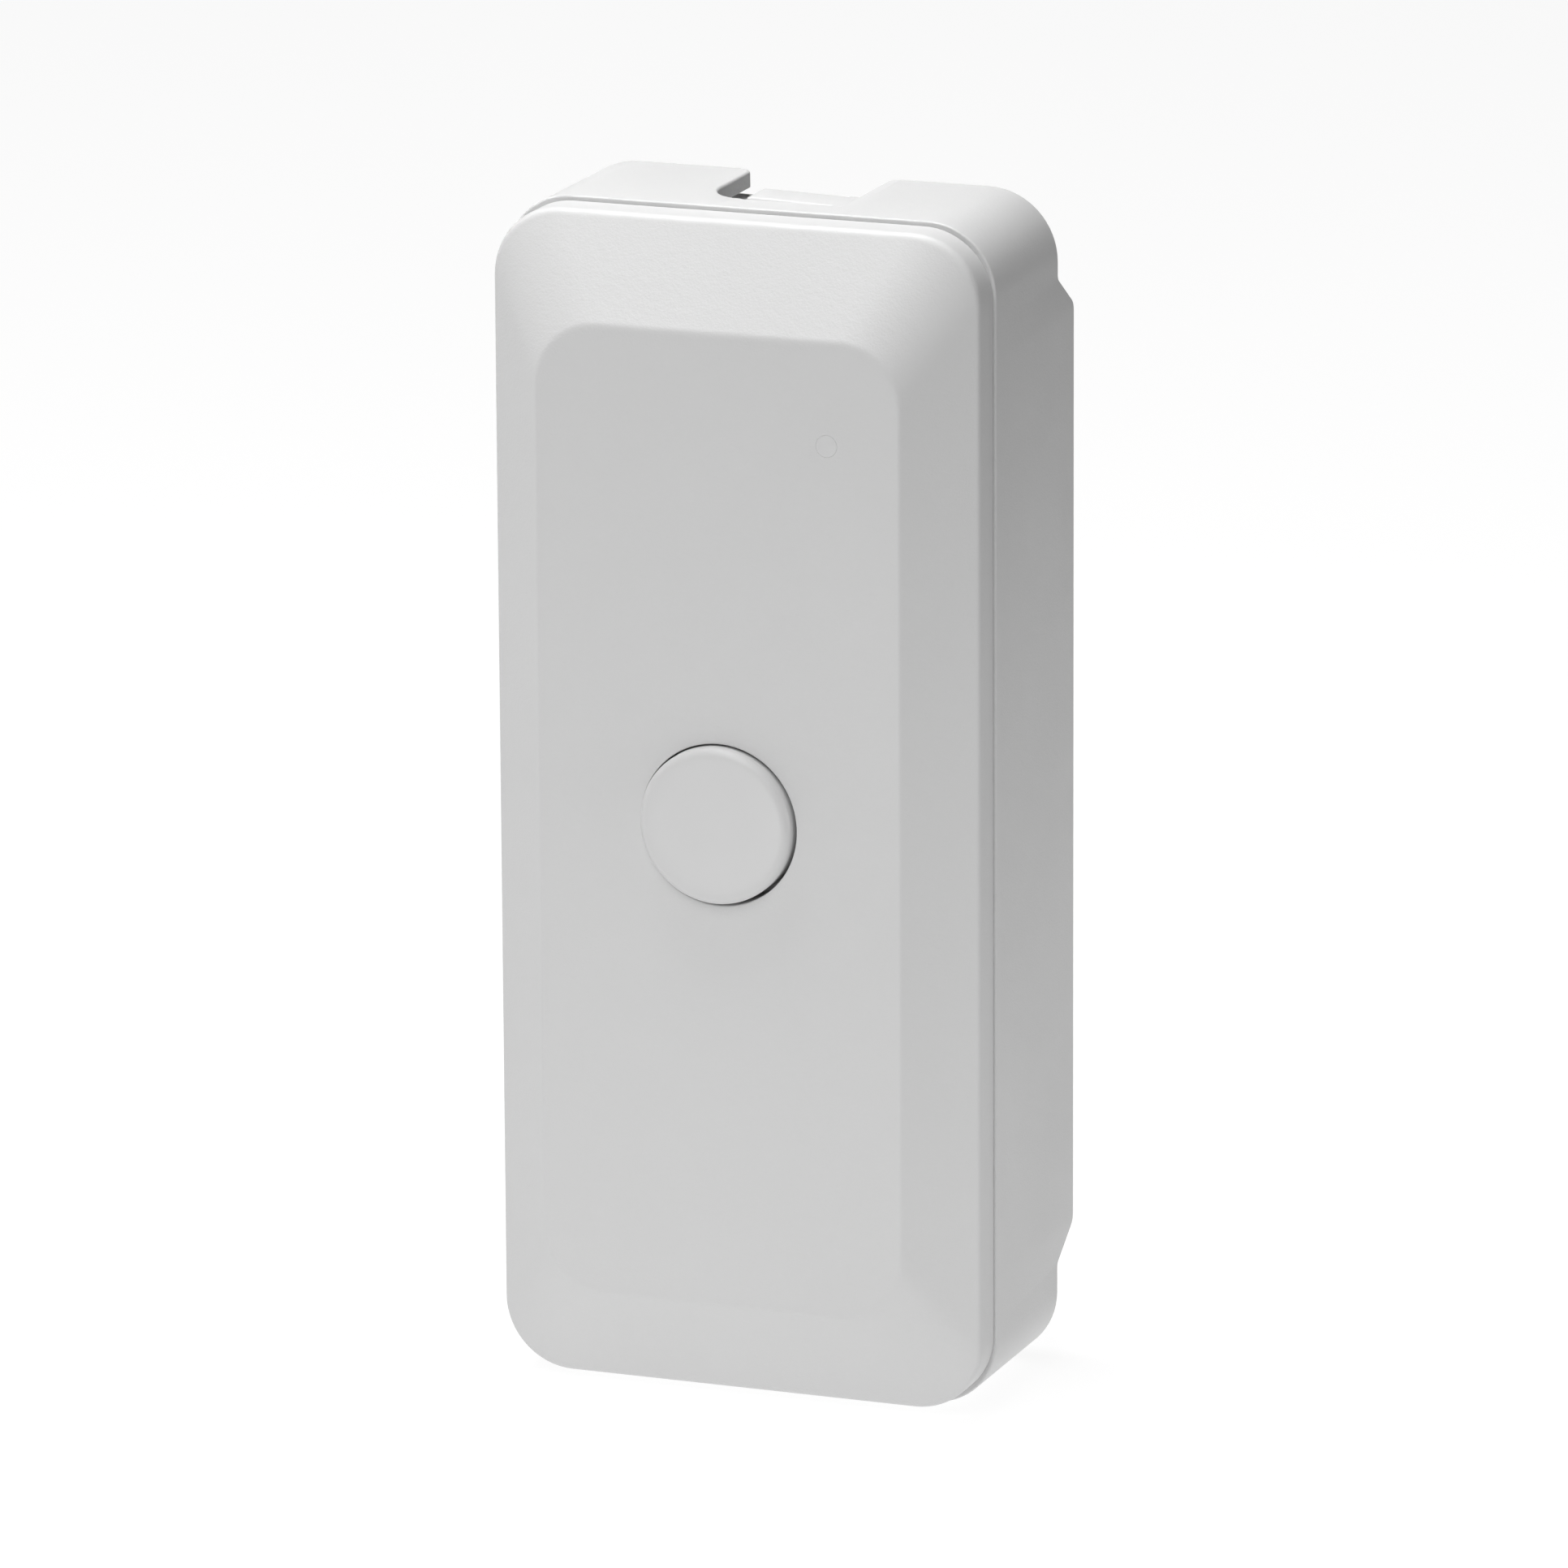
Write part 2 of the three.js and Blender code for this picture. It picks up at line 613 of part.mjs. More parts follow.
function switchPlunger() {
  const flangeY = SWITCH_FRONT_Y + FIT_GAP;
  return turned([
    [0, PLUNGER_TIP_Y],
    [PLUNGER_RADIUS - 0.2, PLUNGER_TIP_Y],
    [PLUNGER_RADIUS, PLUNGER_TIP_Y + 0.2],
    [PLUNGER_RADIUS, flangeY],
    [2.4, flangeY],
    [2.4, flangeY + 0.5],
    [0, flangeY + 0.5],
  ], {}, 32);
}

/** A flat leg that leaves the switch body sideways and turns back through the board. */
function switchLeg({ x, z }) {
  const side = Math.sign(x);
  const inner = side * (SWITCH_HALF + FIT_GAP);
  const outer = x + side * 0.15;
  const bend = x - side * 0.15;
  const width = [z - 0.35, z + 0.35];
  const shelf = [-10.9, -10.6];
  const stub = block([Math.min(inner, outer), Math.max(inner, outer)], shelf, width);
  const pin = block([Math.min(bend, outer), Math.max(bend, outer)], [shelf[0], BOARD_BACK_Y + 0.7], width);
  return join(stub, pin);
}

function ledBase() {
  const [x, z] = [PIPE_X, PIPE_Z];
  return block([x - 1.6, x + 1.6], [BOARD_FRONT_Y - 0.9, BOARD_FRONT_Y - FIT_GAP], [z - 1, z + 1]);
}

/** The domed lens on the status LED, just behind the light pipe. */
function ledLens() {
  const base = BOARD_FRONT_Y - 0.9 - FIT_GAP;
  const tip = base - 1.2;
  return turned([
    [0, tip],
    [0.45, tip + 0.1],
    [0.8, tip + 0.4],
    [0.9, tip + 0.7],
    [0.9, base],
    [0, base],
  ], { x: PIPE_X, z: PIPE_Z }, 20);
}

/** A flat package standing on the board: half sizes across and up, then its height. */
function chipPackage({ x, z }, halfX, halfZ, height) {
  const back = BOARD_FRONT_Y - FIT_GAP;
  return block([x - halfX, x + halfX], [back - height, back], [z - halfZ, z + halfZ]);
}

/** A gull-wing package: a raised body with a row of seven legs down each long side. */
function microcontroller(at) {
  const back = BOARD_FRONT_Y - FIT_GAP;
  const body = block([at.x - 1.95, at.x + 1.95], [back - 1.6, back - 0.15], [at.z - 4.3, at.z + 4.3]);
  const legs = [];
  for (let row = -3; row <= 3; row += 1) {
    const z = at.z + row * 1.27;
    const shoulder = block([at.x - 2.5, at.x + 2.5], [back - 0.9, back - 0.7], [z - 0.2, z + 0.2]);
    const feet = [-1, 1].map((side) => {
      const [inner, outer] = [at.x + side * 2.3, at.x + side * 3];
      const foot = block([Math.min(inner, outer), Math.max(inner, outer)], [back - 0.2, back], [z - 0.2, z + 0.2]);
      const knee = at.x + side * 2.5;
      const shin = block(
        [Math.min(inner, knee), Math.max(inner, knee)],
        [back - 0.9, back],
        [z - 0.2, z + 0.2],
      );
      return join(foot, shin);
    });
    legs.push(shoulder, ...feet);
  }
  return join(body, ...legs);
}

/** A rounded metal can on its flat base, standing off the board by its seal. */
function crystalCan({ x, z }) {
  const outline = new THREE.Shape();
  const [halfLength, r] = [3.2, 2.1];
  outline.moveTo(x + r, z - halfLength);
  outline.lineTo(x + r, z + halfLength);
  outline.absarc(x, z + halfLength, r, 0, Math.PI, false);
  outline.lineTo(x - r, z - halfLength);
  outline.absarc(x, z - halfLength, r, Math.PI, 2 * Math.PI, false);
  const back = BOARD_FRONT_Y - FIT_GAP;
  return slab(outline, [back - 3.4, back], 10);
}

/** A helical antenna that lies upright beside the switch, with a foot at its lower end. */
function antennaCoil({ x, z }) {
  const turns = 8;
  const [coilRadius, wireRadius, pitch] = [2.2, 0.35, 2.2];
  const centreY = BOARD_FRONT_Y - coilRadius - wireRadius - 0.3;
  class Coil extends THREE.Curve {
    getPoint(t, target = new THREE.Vector3()) {
      const angle = t * turns * 2 * Math.PI;
      const across = coilRadius * Math.sin(angle);
      return target.set(x + across, centreY + coilRadius * Math.cos(angle), z + t * turns * pitch);
    }
  }
  return wire(new Coil(), wireRadius, turns * 14);
}

/** The two solder feet that hold the antenna above the board. */
function antennaFoot({ x, z }) {
  return block([x - 0.7, x + 0.7], [BOARD_FRONT_Y - 0.28, BOARD_FRONT_Y - FIT_GAP], [z - 0.6, z + 0.6]);
}

/** A small aluminium can capacitor on a square foot. */
function bulkCapacitor({ x, z }) {
  const back = BOARD_FRONT_Y - FIT_GAP;
  const foot = block([x - 2.6, x + 2.6], [back - 0.9, back], [z - 2.6, z + 2.6]);
  const can = turned([
    [0, back - 5.2],
    [2.1, back - 5.2],
    [2.5, back - 4.8],
    [2.5, back - 1.6],
    [2.3, back - 1.3],
    [2.5, back - 1],
    [2.5, back - 0.5],
    [0, back - 0.5],
  ], { x, z }, 28);
  return join(foot, can);
}

// ---- Battery ------------------------------------------------------------------------

/** The open cradle: a saddle for the cell, two end walls and a pair of snap arms. */
function batteryCradle() {
  const half = CRADLE_HALF_WIDTH;
  const length = [CRADLE_BOTTOM, CRADLE_TOP];
  const saddle = block([-half, half], [CRADLE_EDGE_Y, 0], length).intersect(behindLimit(BACK_WALL + FIT_GAP));
  const frontEdge = -14.4;
  const lowerEnd = block([-6.8, 6.8], [frontEdge, CRADLE_EDGE_Y + 1], [CRADLE_BOTTOM, CRADLE_BOTTOM + CRADLE_END_WALL]);
  const upperEnd = block([-6.8, 6.8], [frontEdge, CRADLE_EDGE_Y + 1], [CRADLE_TOP - CRADLE_END_WALL, CRADLE_TOP]);
  const arms = [-1, 1].map((side) => {
    const [inner, outer] = [side * 6, side * half];
    return block([Math.min(inner, outer), Math.max(inner, outer)], [-13.4, CRADLE_EDGE_Y + 1], [-22.5, -16.5]);
  });
  const bay = [CRADLE_BOTTOM + CRADLE_END_WALL, CRADLE_TOP - CRADLE_END_WALL];
  const channelRadius = CELL_RADIUS + 0.2;
  const channel = turnedUpright([
    [0, bay[0]],
    [channelRadius, bay[0]],
    [channelRadius, bay[1]],
    [0, bay[1]],
  ], 48);
  return cut(join(saddle, lowerEnd, upperEnd, ...arms), channel);
}

function cellCan() {
  const r = CELL_RADIUS - 0.2;
  const nubTop = CELL_SHOULDER + CELL_NUB_LENGTH;
  return turnedUpright([
    [0, CELL_BOTTOM],
    [r - 0.3, CELL_BOTTOM],
    [r, CELL_BOTTOM + 0.3],
    [r, CELL_SHOULDER - 0.3],
    [r - 0.3, CELL_SHOULDER],
    [2.8, CELL_SHOULDER],
    [2.8, nubTop - 0.2],
    [2.6, nubTop],
    [0, nubTop],
  ]);
}

/** The thin wrap round the cell, folded a little over neither end. */
function cellWrap() {
  const inner = CELL_RADIUS - 0.16;
  const [bottom, top] = [CELL_BOTTOM + 0.35, CELL_SHOULDER - 0.35];
  return turnedUpright([
    [inner, bottom],
    [CELL_RADIUS, bottom],
    [CELL_RADIUS, top],
    [inner, top],
    [inner, bottom],
  ]);
}

/** The flat contact at the nub end, with a tail that lies on the board. */
function positiveContact() {
  const back = CRADLE_TOP - CRADLE_END_WALL - FIT_GAP;
  const level = [back - CONTACT_THICKNESS, back];
  const plate = block([-4.2, 4.2], [-14, -9.6], level);
  const arm = block([-8.5, -4], [-11.2, -9.6], level);
  const tail = block([-8.5, -7.2], [-9.9, -9.6], [level[0], CONTACT_TAIL_TOP]);
  return join(plate, arm, tail);
}

/** The plate under the spring, joined to the board by a strap beside the cradle. */
function negativeContact() {
  const bottom = CRADLE_BOTTOM + CRADLE_END_WALL + FIT_GAP;
  const level = [bottom, bottom + CONTACT_THICKNESS];
  const depth = [-11.2, -9.6];
  const plate = block([-5, 5], [-14, -7], level);
  const arm = block([4.8, CRADLE_HALF_WIDTH + 0.5], depth, level);
  const strap = block([CRADLE_HALF_WIDTH + 0.2, CRADLE_HALF_WIDTH + 0.5], depth, [bottom, CONTACT_TAIL_TOP]);
  return join(plate, arm, strap);
}

/** The conical spring that pushes the cell against the flat contact. */
function negativeSpring() {
  const turns = 2.75;
  const wireRadius = 0.32;
  const start = CRADLE_BOTTOM + CRADLE_END_WALL + FIT_GAP + CONTACT_THICKNESS + wireRadius + FIT_GAP;
  const end = CELL_BOTTOM - wireRadius - FIT_GAP;
  const [wide, narrow] = [4.6, 2.4];
  class Cone extends THREE.Curve {
    getPoint(t, target = new THREE.Vector3()) {
      const angle = t * turns * 2 * Math.PI;
      const radius = wide + (narrow - wide) * t;
      return target.set(radius * Math.cos(angle), CELL_Y + radius * Math.sin(angle), start + (end - start) * t);
    }
  }
  return wire(new Cone(), wireRadius, Math.round(turns * 16));
}

// ---- Assembly -----------------------------------------------------------------------

const group = new THREE.Group();

function place(name, body, finish) {
  const mesh = new THREE.Mesh(geometryOf(body), finish);
  mesh.name = name;
  group.add(mesh);
}

place('front_cover', frontCover(), whiteShell());
place('light_pipe', lightPipe(), clearPipe());
place('push_button', pushButton(), whiteButton());
place('rear_housing', rearHousing(), whiteShell());
place('release_tab', releaseTab(), whiteShell());

place('circuit_board', circuitBoard(), boardMask());
BOARD_SCREWS.forEach((at, i) => place(`board_screw_${i + 1}`, boardScrew(at), steel()));
place('switch_base', switchBase(), blackPlastic());
place('switch_plate', switchPlate(), tinPlate());
place('switch_plunger', switchPlunger(), blackPlastic());
legPlaces().forEach((at, i) => place(`switch_leg_${i + 1}`, switchLeg(at), tinPlate()));
place('status_led', ledBase(), ceramic());
place('led_lens', ledLens(), lens());
place('microcontroller', microcontroller({ x: 4, z: 12 }), chipResin());
place('radio_chip', chipPackage({ x: -3.4, z: 17 }, 2, 2, 0.9), chipResin());
place('crystal_can', crystalCan({ x: 10.4, z: 12 }), tinPlate());
place('bulk_capacitor', bulkCapacitor({ x: -3.4, z: 9.4 }), tinPlate());
place('antenna_coil', antennaCoil({ x: -10.3, z: 7 }), copperWire());
[6.2, 25.6].forEach((z, i) => place(`antenna_pad_${i + 1}`, antennaFoot({ x: -10.3, z }), tinPlate()));
[
  { x: -6.4, z: 21.6 },
  { x: -0.4, z: 21.6 },
  { x: 9.4, z: 3.4 },
].forEach((at, i) => place(`ceramic_capacitor_${i + 1}`, chipPackage(at, 1, 0.62, 0.9), ceramic()));
[
  { x: 7.65, z: 21.2 },
  { x: 11.4, z: 21.2 },
  { x: -8.4, z: 2.6 },
].forEach((at, i) => place(`chip_resistor_${i + 1}`, chipPackage(at, 1, 0.62, 0.5), chipResin()));

place('battery_cradle', batteryCradle(), greyPlastic());
place('cell_can', cellCan(), steel());
place('cell_wrap', cellWrap(), cellSleeve());
place('positive_contact', positiveContact(), tinPlate());
place('negative_contact', negativeContact(), tinPlate());
place('negative_spring', negativeSpring(), steel());

export default group;
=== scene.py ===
"""Fine surfaces and finishes for a wireless doorbell push button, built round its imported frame.

Everything is in metres. +Z is up, the visitor stands at -Y and the wall is the plane y = 0.
"""

import logging
import math
from dataclasses import dataclass, field
from enum import Enum
from typing import Sequence

import bpy
import numpy as np
from mathutils import Matrix, Vector


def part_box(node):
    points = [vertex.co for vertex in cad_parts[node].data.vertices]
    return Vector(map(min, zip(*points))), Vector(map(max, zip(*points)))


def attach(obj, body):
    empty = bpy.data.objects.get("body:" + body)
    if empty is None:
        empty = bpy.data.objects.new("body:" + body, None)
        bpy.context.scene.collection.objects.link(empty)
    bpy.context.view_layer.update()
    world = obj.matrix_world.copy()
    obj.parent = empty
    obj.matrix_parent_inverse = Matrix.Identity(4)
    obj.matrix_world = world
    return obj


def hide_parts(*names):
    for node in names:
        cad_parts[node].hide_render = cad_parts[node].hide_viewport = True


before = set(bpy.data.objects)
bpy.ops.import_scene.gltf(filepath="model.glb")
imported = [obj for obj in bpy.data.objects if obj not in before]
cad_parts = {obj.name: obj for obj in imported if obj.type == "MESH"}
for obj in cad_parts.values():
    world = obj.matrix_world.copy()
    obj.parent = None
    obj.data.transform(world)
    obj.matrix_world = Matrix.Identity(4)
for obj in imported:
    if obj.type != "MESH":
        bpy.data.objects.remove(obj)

LOG = logging.getLogger("doorbell")
MM = 0.001
QUARTER = math.pi / 2
CASE_TOP = 40 * MM
CORE = 0.1 * MM  # radius at which a turned profile stops short of its axis
CORNER_WAY = math.atan2(32.8, 12.65)  # from the plateau's middle to its corner

Array = np.ndarray
Face = tuple[int, ...]


class Axis(Enum):
    """The direction that a turned or carried shape runs along."""

    DEPTH = "depth"
    UPRIGHT = "upright"
    ACROSS = "across"


class Join(Enum):
    """How one closed body is combined with another."""

    ADD = "UNION"
    CUT = "DIFFERENCE"
    KEEP = "INTERSECT"


# ---- Surfaces as arrays -------------------------------------------------------------


@dataclass
class Skin:
    """A closed surface.

    Attributes:
        points: Its points, shaped (points, 3).
        faces: Its faces, each the numbers of its corners.
    """

    points: Array
    faces: list[Face]

    def facing_out(self) -> "Skin":
        """Returns the same skin with its faces turned outwards.

        The signed volume is the sum over fan triangles of a . (b x c) / 6, and it is negative
        when the faces point inwards.

        Returns:
            The skin itself, or a copy with each face reversed.
        """
        fans = np.array([(f[0], f[k], f[k + 1]) for f in self.faces for k in range(1, len(f) - 1)])
        a, b, c = (self.points[fans[:, k]] for k in range(3))
        volume = np.einsum("ij,ij->i", a, np.cross(b, c)).sum()
        if volume >= 0:
            return self
        return Skin(self.points, [tuple(reversed(f)) for f in self.faces])


def weave(grid: Array, wrap: bool = False) -> Skin:
    """Closes a grid of rings into a skin.

    Neighbouring rings are joined by quads. Without wrap, each end ring is closed by a fan of
    triangles round its own mean point.

    Args:
        grid: Ring points, shaped (rings, points round a ring, 3).
        wrap: Whether the last ring joins the first one, as on a torus.

    Returns:
        The closed skin, facing out.
    """
    rings, around, _ = grid.shape
    index = np.arange(rings * around).reshape(rings, around)
    ahead = np.roll(index, -1, axis=1)
    if wrap:
        lower, upper = index, np.roll(index, -1, axis=0)
        lower_ahead, upper_ahead = ahead, np.roll(ahead, -1, axis=0)
    else:
        lower, upper = index[:-1], index[1:]
        lower_ahead, upper_ahead = ahead[:-1], ahead[1:]
    quads = np.stack([lower, lower_ahead, upper_ahead, upper], axis=-1).reshape(-1, 4)
    points = grid.reshape(-1, 3)
    faces: list[Face] = [tuple(q) for q in quads.tolist()]
    if not wrap:
        poles = np.stack([grid[0].mean(axis=0), grid[-1].mean(axis=0)])
        start, end = len(points), len(points) + 1
        points = np.concatenate([points, poles])
        first = np.stack([np.full(around, start), ahead[0], index[0]], axis=-1)
        last = np.stack([np.full(around, end), index[-1], ahead[-1]], axis=-1)
        faces += [tuple(t) for t in np.concatenate([first, last]).tolist()]
    return Skin(points, faces).facing_out()


def soften(
    corners: Array, trims: Array, steps: int = 6, guard: float = 0.12 * MM, closed: bool = False
) -> Array:
    """Rounds the corners of a path of any dimension.

    Each corner V becomes the parabola (1-t)^2 A + 2t(1-t) V + t^2 B, where A and B lie at the
    trim distance before and after V. One more point is kept just outside A and B, so that
    smooth shading stays flat on the long stretches between corners.

    Args:
        corners: Corner values, shaped (corners, values); the first and last values are kept
            as they are when the path is open.
        trims: The trim distance of each corner.
        steps: Points along each rounding.
        guard: Distance from a rounding to its guard point.
        closed: Whether the path returns to its start.

    Returns:
        The rounded path, shaped (points, values).
    """
    before = np.roll(corners, 1, axis=0)
    after = np.roll(corners, -1, axis=0)
    to_before = before - corners
    to_after = after - corners
    reach_before = np.linalg.norm(to_before, axis=1, keepdims=True) + 1e-12
    reach_after = np.linalg.norm(to_after, axis=1, keepdims=True) + 1e-12
    trim = np.maximum(np.asarray(trims, float), 1e-6)[:, None]
    trim_before = np.minimum(trim, 0.45 * reach_before)
    trim_after = np.minimum(trim, 0.45 * reach_after)
    start = corners + to_before / reach_before * trim_before
    end = corners + to_after / reach_after * trim_after
    t = np.linspace(0, 1, steps)[None, :, None]
    arc = (1 - t) ** 2 * start[:, None] + 2 * t * (1 - t) * corners[:, None] + t**2 * end[:, None]
    guard_before = start + to_before / reach_before * np.minimum(guard, 0.3 * (reach_before - trim_before))
    guard_after = end + to_after / reach_after * np.minimum(guard, 0.3 * (reach_after - trim_after))
    path = np.concatenate([guard_before[:, None], arc, guard_after[:, None]], axis=1)
    if closed:
        return path.reshape(-1, corners.shape[1])
    inner = path[1:-1].reshape(-1, corners.shape[1])
    return np.concatenate([corners[:1], inner, corners[-1:]])


def ring_terms(
    corner_steps: int = 16, short_steps: int = 20, long_steps: int = 68
) -> tuple[Array, Array, Array, Array]:
    """The four terms that place points round any rounded rectangle.

    With terms a, b, c, s, a point is x = a (half_x - r) + c r and z = b (half_z - r) + s r: at a
    corner a and b are plus or minus one while (c, s) turns, and along a side (c, s) is still
    while a or b slides.

    Args:
        corner_steps: Steps round each corner.
        short_steps: Steps along the top and along the bottom.
        long_steps: Steps along each upright side.

    Returns:
        The arrays a, b, c and s, one value for each point round the ring.
    """
    turn = np.linspace(0, QUARTER, corner_steps, endpoint=False)
    short = np.linspace(1, -1, short_steps, endpoint=False)
    long = np.linspace(1, -1, long_steps, endpoint=False)
    still = np.ones_like
    a = [still(turn), short, -still(turn), -still(long), -still(turn), -short, still(turn), still(long)]
    b = [still(turn), still(short), still(turn), long, -still(turn), -still(short), -still(turn), -long]
    angle = [
        turn,
        QUARTER * still(short),
        QUARTER + turn,
        2 * QUARTER * still(long),
        2 * QUARTER + turn,
        3 * QUARTER * still(short),
        3 * QUARTER + turn,
        4 * QUARTER * still(long),
    ]
    turned = np.concatenate(angle)
    return np.concatenate(a), np.concatenate(b), np.cos(turned), np.sin(turned)


def loft(stations: Array, steps: tuple[int, int, int] = (16, 20, 68)) -> Array:
    """Rings of rounded rectangles at a list of stations, each blended towards a circle.

    With the ring terms a, b, c, s and an even turn phi, a station gives
    x = (1-w) (a (half_x - r) + c r) + w R cos phi and the same for z with b, s and sin phi.

    Args:
        stations: Rows of (half_x, half_z, r, y, w, R).
        steps: Steps round a corner, along a short side and along a long side.

    Returns:
        Ring points, shaped (stations, points, 3).
    """
    a, b, c, s = ring_terms(*steps)
    half_x, half_z, r, y, w, circle = (stations[:, k, None] for k in range(6))
    phi = CORNER_WAY + 2 * np.pi * (np.arange(len(a)) - steps[0] / 2) / len(a)
    x = (1 - w) * (a * (half_x - r) + c * r) + w * circle * np.cos(phi)
    z = (1 - w) * (b * (half_z - r) + s * r) + w * circle * np.sin(phi)
    return np.stack([x, y + 0 * x, z], axis=-1)


def oriented(radial: Array, side: Array, along: Array, axis: Axis) -> Array:
    """Lays two cross values and one long value along the chosen axis, as x, y, z."""
    order = {
        Axis.DEPTH: (radial, along, side),
        Axis.UPRIGHT: (radial, side, along),
        Axis.ACROSS: (along, radial, side),
    }[axis]
    return np.stack(np.broadcast_arrays(*order), axis=-1)


def turned(
    profile: Array, centre: Sequence[float], axis: Axis = Axis.DEPTH, sides: int = 96, wrap: bool = False
) -> Skin:
    """A turned body: the profile's radius and place carried round an axis.

    Point (i, j) is r_i (cos phi_j, sin phi_j) across the axis at place l_i along it.

    Args:
        profile: Rows of (radius, place along the axis).
        centre: The axis's position, as x, y, z; the value along the axis isn't used.
        axis: The axis's direction.
        sides: Points round the axis.
        wrap: Whether the profile closes on itself, as on a ring.

    Returns:
        The closed skin.
    """
    phi = 2 * np.pi * np.arange(sides) / sides
    radius, along = profile[:, 0, None], profile[:, 1, None]
    grid = oriented(radius * np.cos(phi), radius * np.sin(phi), along, axis)
    keep = {Axis.DEPTH: (1, 0, 1), Axis.UPRIGHT: (1, 1, 0), Axis.ACROSS: (0, 1, 1)}[axis]
    return weave(grid + np.array(centre) * np.array(keep), wrap)


def rod(
    radius: float,
    start: float,
    end: float,
    centre: Sequence[float],
    axis: Axis = Axis.DEPTH,
    sides: int = 48,
) -> Skin:
    """A straight round rod between two places along its axis."""
    return turned(np.array([(radius, start), (radius, end)]), centre, axis, sides)


def tube(path: Array, radius: float, reference: Sequence[float], sides: int = 12) -> Skin:
    """A round wire along a path.

    At each point the tangent t is the path's gradient, n = reference x t scaled to one and
    b = t x n, and the ring is p + radius (n cos phi + b sin phi).

    Args:
        path: Points along the wire's centre, shaped (points, 3).
        radius: The wire's radius.
        reference: A direction that the wire never runs along.
        sides: Points round the wire.

    Returns:
        The closed skin.
    """
    tangent = np.gradient(path, axis=0)
    tangent /= np.linalg.norm(tangent, axis=1, keepdims=True)
    normal = np.cross(np.array(reference, float), tangent)
    normal /= np.linalg.norm(normal, axis=1, keepdims=True)
    binormal = np.cross(tangent, normal)
    phi = 2 * np.pi * np.arange(sides)[None, :, None] / sides
    grid = path[:, None] + radius * (normal[:, None] * np.cos(phi) + binormal[:, None] * np.sin(phi))
    return weave(grid)


def carried(
    outline: Array,
    levels: Sequence[float],
    axis: Axis,
    flares: Sequence[float] = (),
    weights: Array | float = 1.0,
) -> Skin:
    """A prism: an outline carried straight along an axis, and widened at chosen levels.

    At level k the outline's points move out along their mean edge normals by flare k times
    the point's weight.

    Args:
        outline: Outline points in the two cross values, in order, shaped (points, 2).
        levels: Places along the axis.
        axis: The axis's direction.
        flares: How far the outline is widened at each level; nothing means none.
        weights: Each outline point's share of the widening.

    Returns:
        The closed skin, with a flat face at each end.
    """
    edge = np.roll(outline, -1, axis=0) - outline
    out = np.stack([edge[:, 1], -edge[:, 0]], axis=-1)
    out /= np.linalg.norm(out, axis=1, keepdims=True)
    out = out + np.roll(out, 1, axis=0)
    out /= np.linalg.norm(out, axis=1, keepdims=True)
    area = np.sum(outline[:, 0] * np.roll(outline[:, 1], -1) - np.roll(outline[:, 0], -1) * outline[:, 1])
    flare = np.array(flares if len(flares) else [0.0] * len(levels))[:, None, None]
    share = np.broadcast_to(weights, len(outline))[None, :, None]
    rings = outline[None] + flare * share * out[None] * np.sign(area)
    place = np.array(levels)[:, None] + 0 * rings[..., 0]
    grid = oriented(rings[..., 0], rings[..., 1], place, axis)
    count, around = len(levels), len(outline)
    index = np.arange(count * around).reshape(count, around)
    ahead = np.roll(index, -1, axis=1)
    quads = np.stack([index[:-1], ahead[:-1], ahead[1:], index[1:]], axis=-1).reshape(-1, 4)
    ends: list[Face] = [tuple(index[0][::-1].tolist()), tuple(index[-1].tolist())]
    return Skin(grid.reshape(-1, 3), [tuple(q) for q in quads.tolist()] + ends).facing_out()


def soft_block(low: Sequence[float], high: Sequence[float], edge: float, steps: int = 4) -> Skin:
    """A block with rounded edges, lofted from front to back.

    The end rings shrink by e (1 - cos t) as the depth moves by e (1 - sin t), a quarter circle
    of radius e at each end, and the upright edges have the same radius.

    Args:
        low: The lowest corner.
        high: The highest corner.
        edge: The radius of the edges.
        steps: Points along each rounding.

    Returns:
        The closed skin.
    """
    lo, hi = np.array(low, float), np.array(high, float)
    centre, half = (lo + hi) / 2, (hi - lo) / 2
    edge = min(edge, 0.45 * half.min() * 2)
    t = np.linspace(0, QUARTER, steps)
    inset = np.concatenate([edge * (1 - np.sin(t)), edge * (1 - np.cos(t))])
    depth = np.concatenate([-half[1] + edge * (1 - np.cos(t)), half[1] - edge * (1 - np.sin(t))])
    radius = np.maximum(edge * 1.3 - inset, 0.2 * edge)
    zero = np.zeros_like(inset)
    stations = np.stack([half[0] - inset, half[2] - inset, radius, depth, zero, zero], axis=-1)
    return weave(loft(stations, (steps, 1, 1)) + centre)


def arc(centre: Sequence[float], radius: float, start: float, end: float, steps: int = 12) -> Array:
    """Points of a circular arc from one angle to another, in degrees."""
    angle = np.radians(np.linspace(start, end, steps))
    return np.stack([centre[0] + radius * np.cos(angle), centre[1] + radius * np.sin(angle)], axis=-1)


# ---- Finishes -----------------------------------------------------------------------

Colour = tuple[float, float, float]


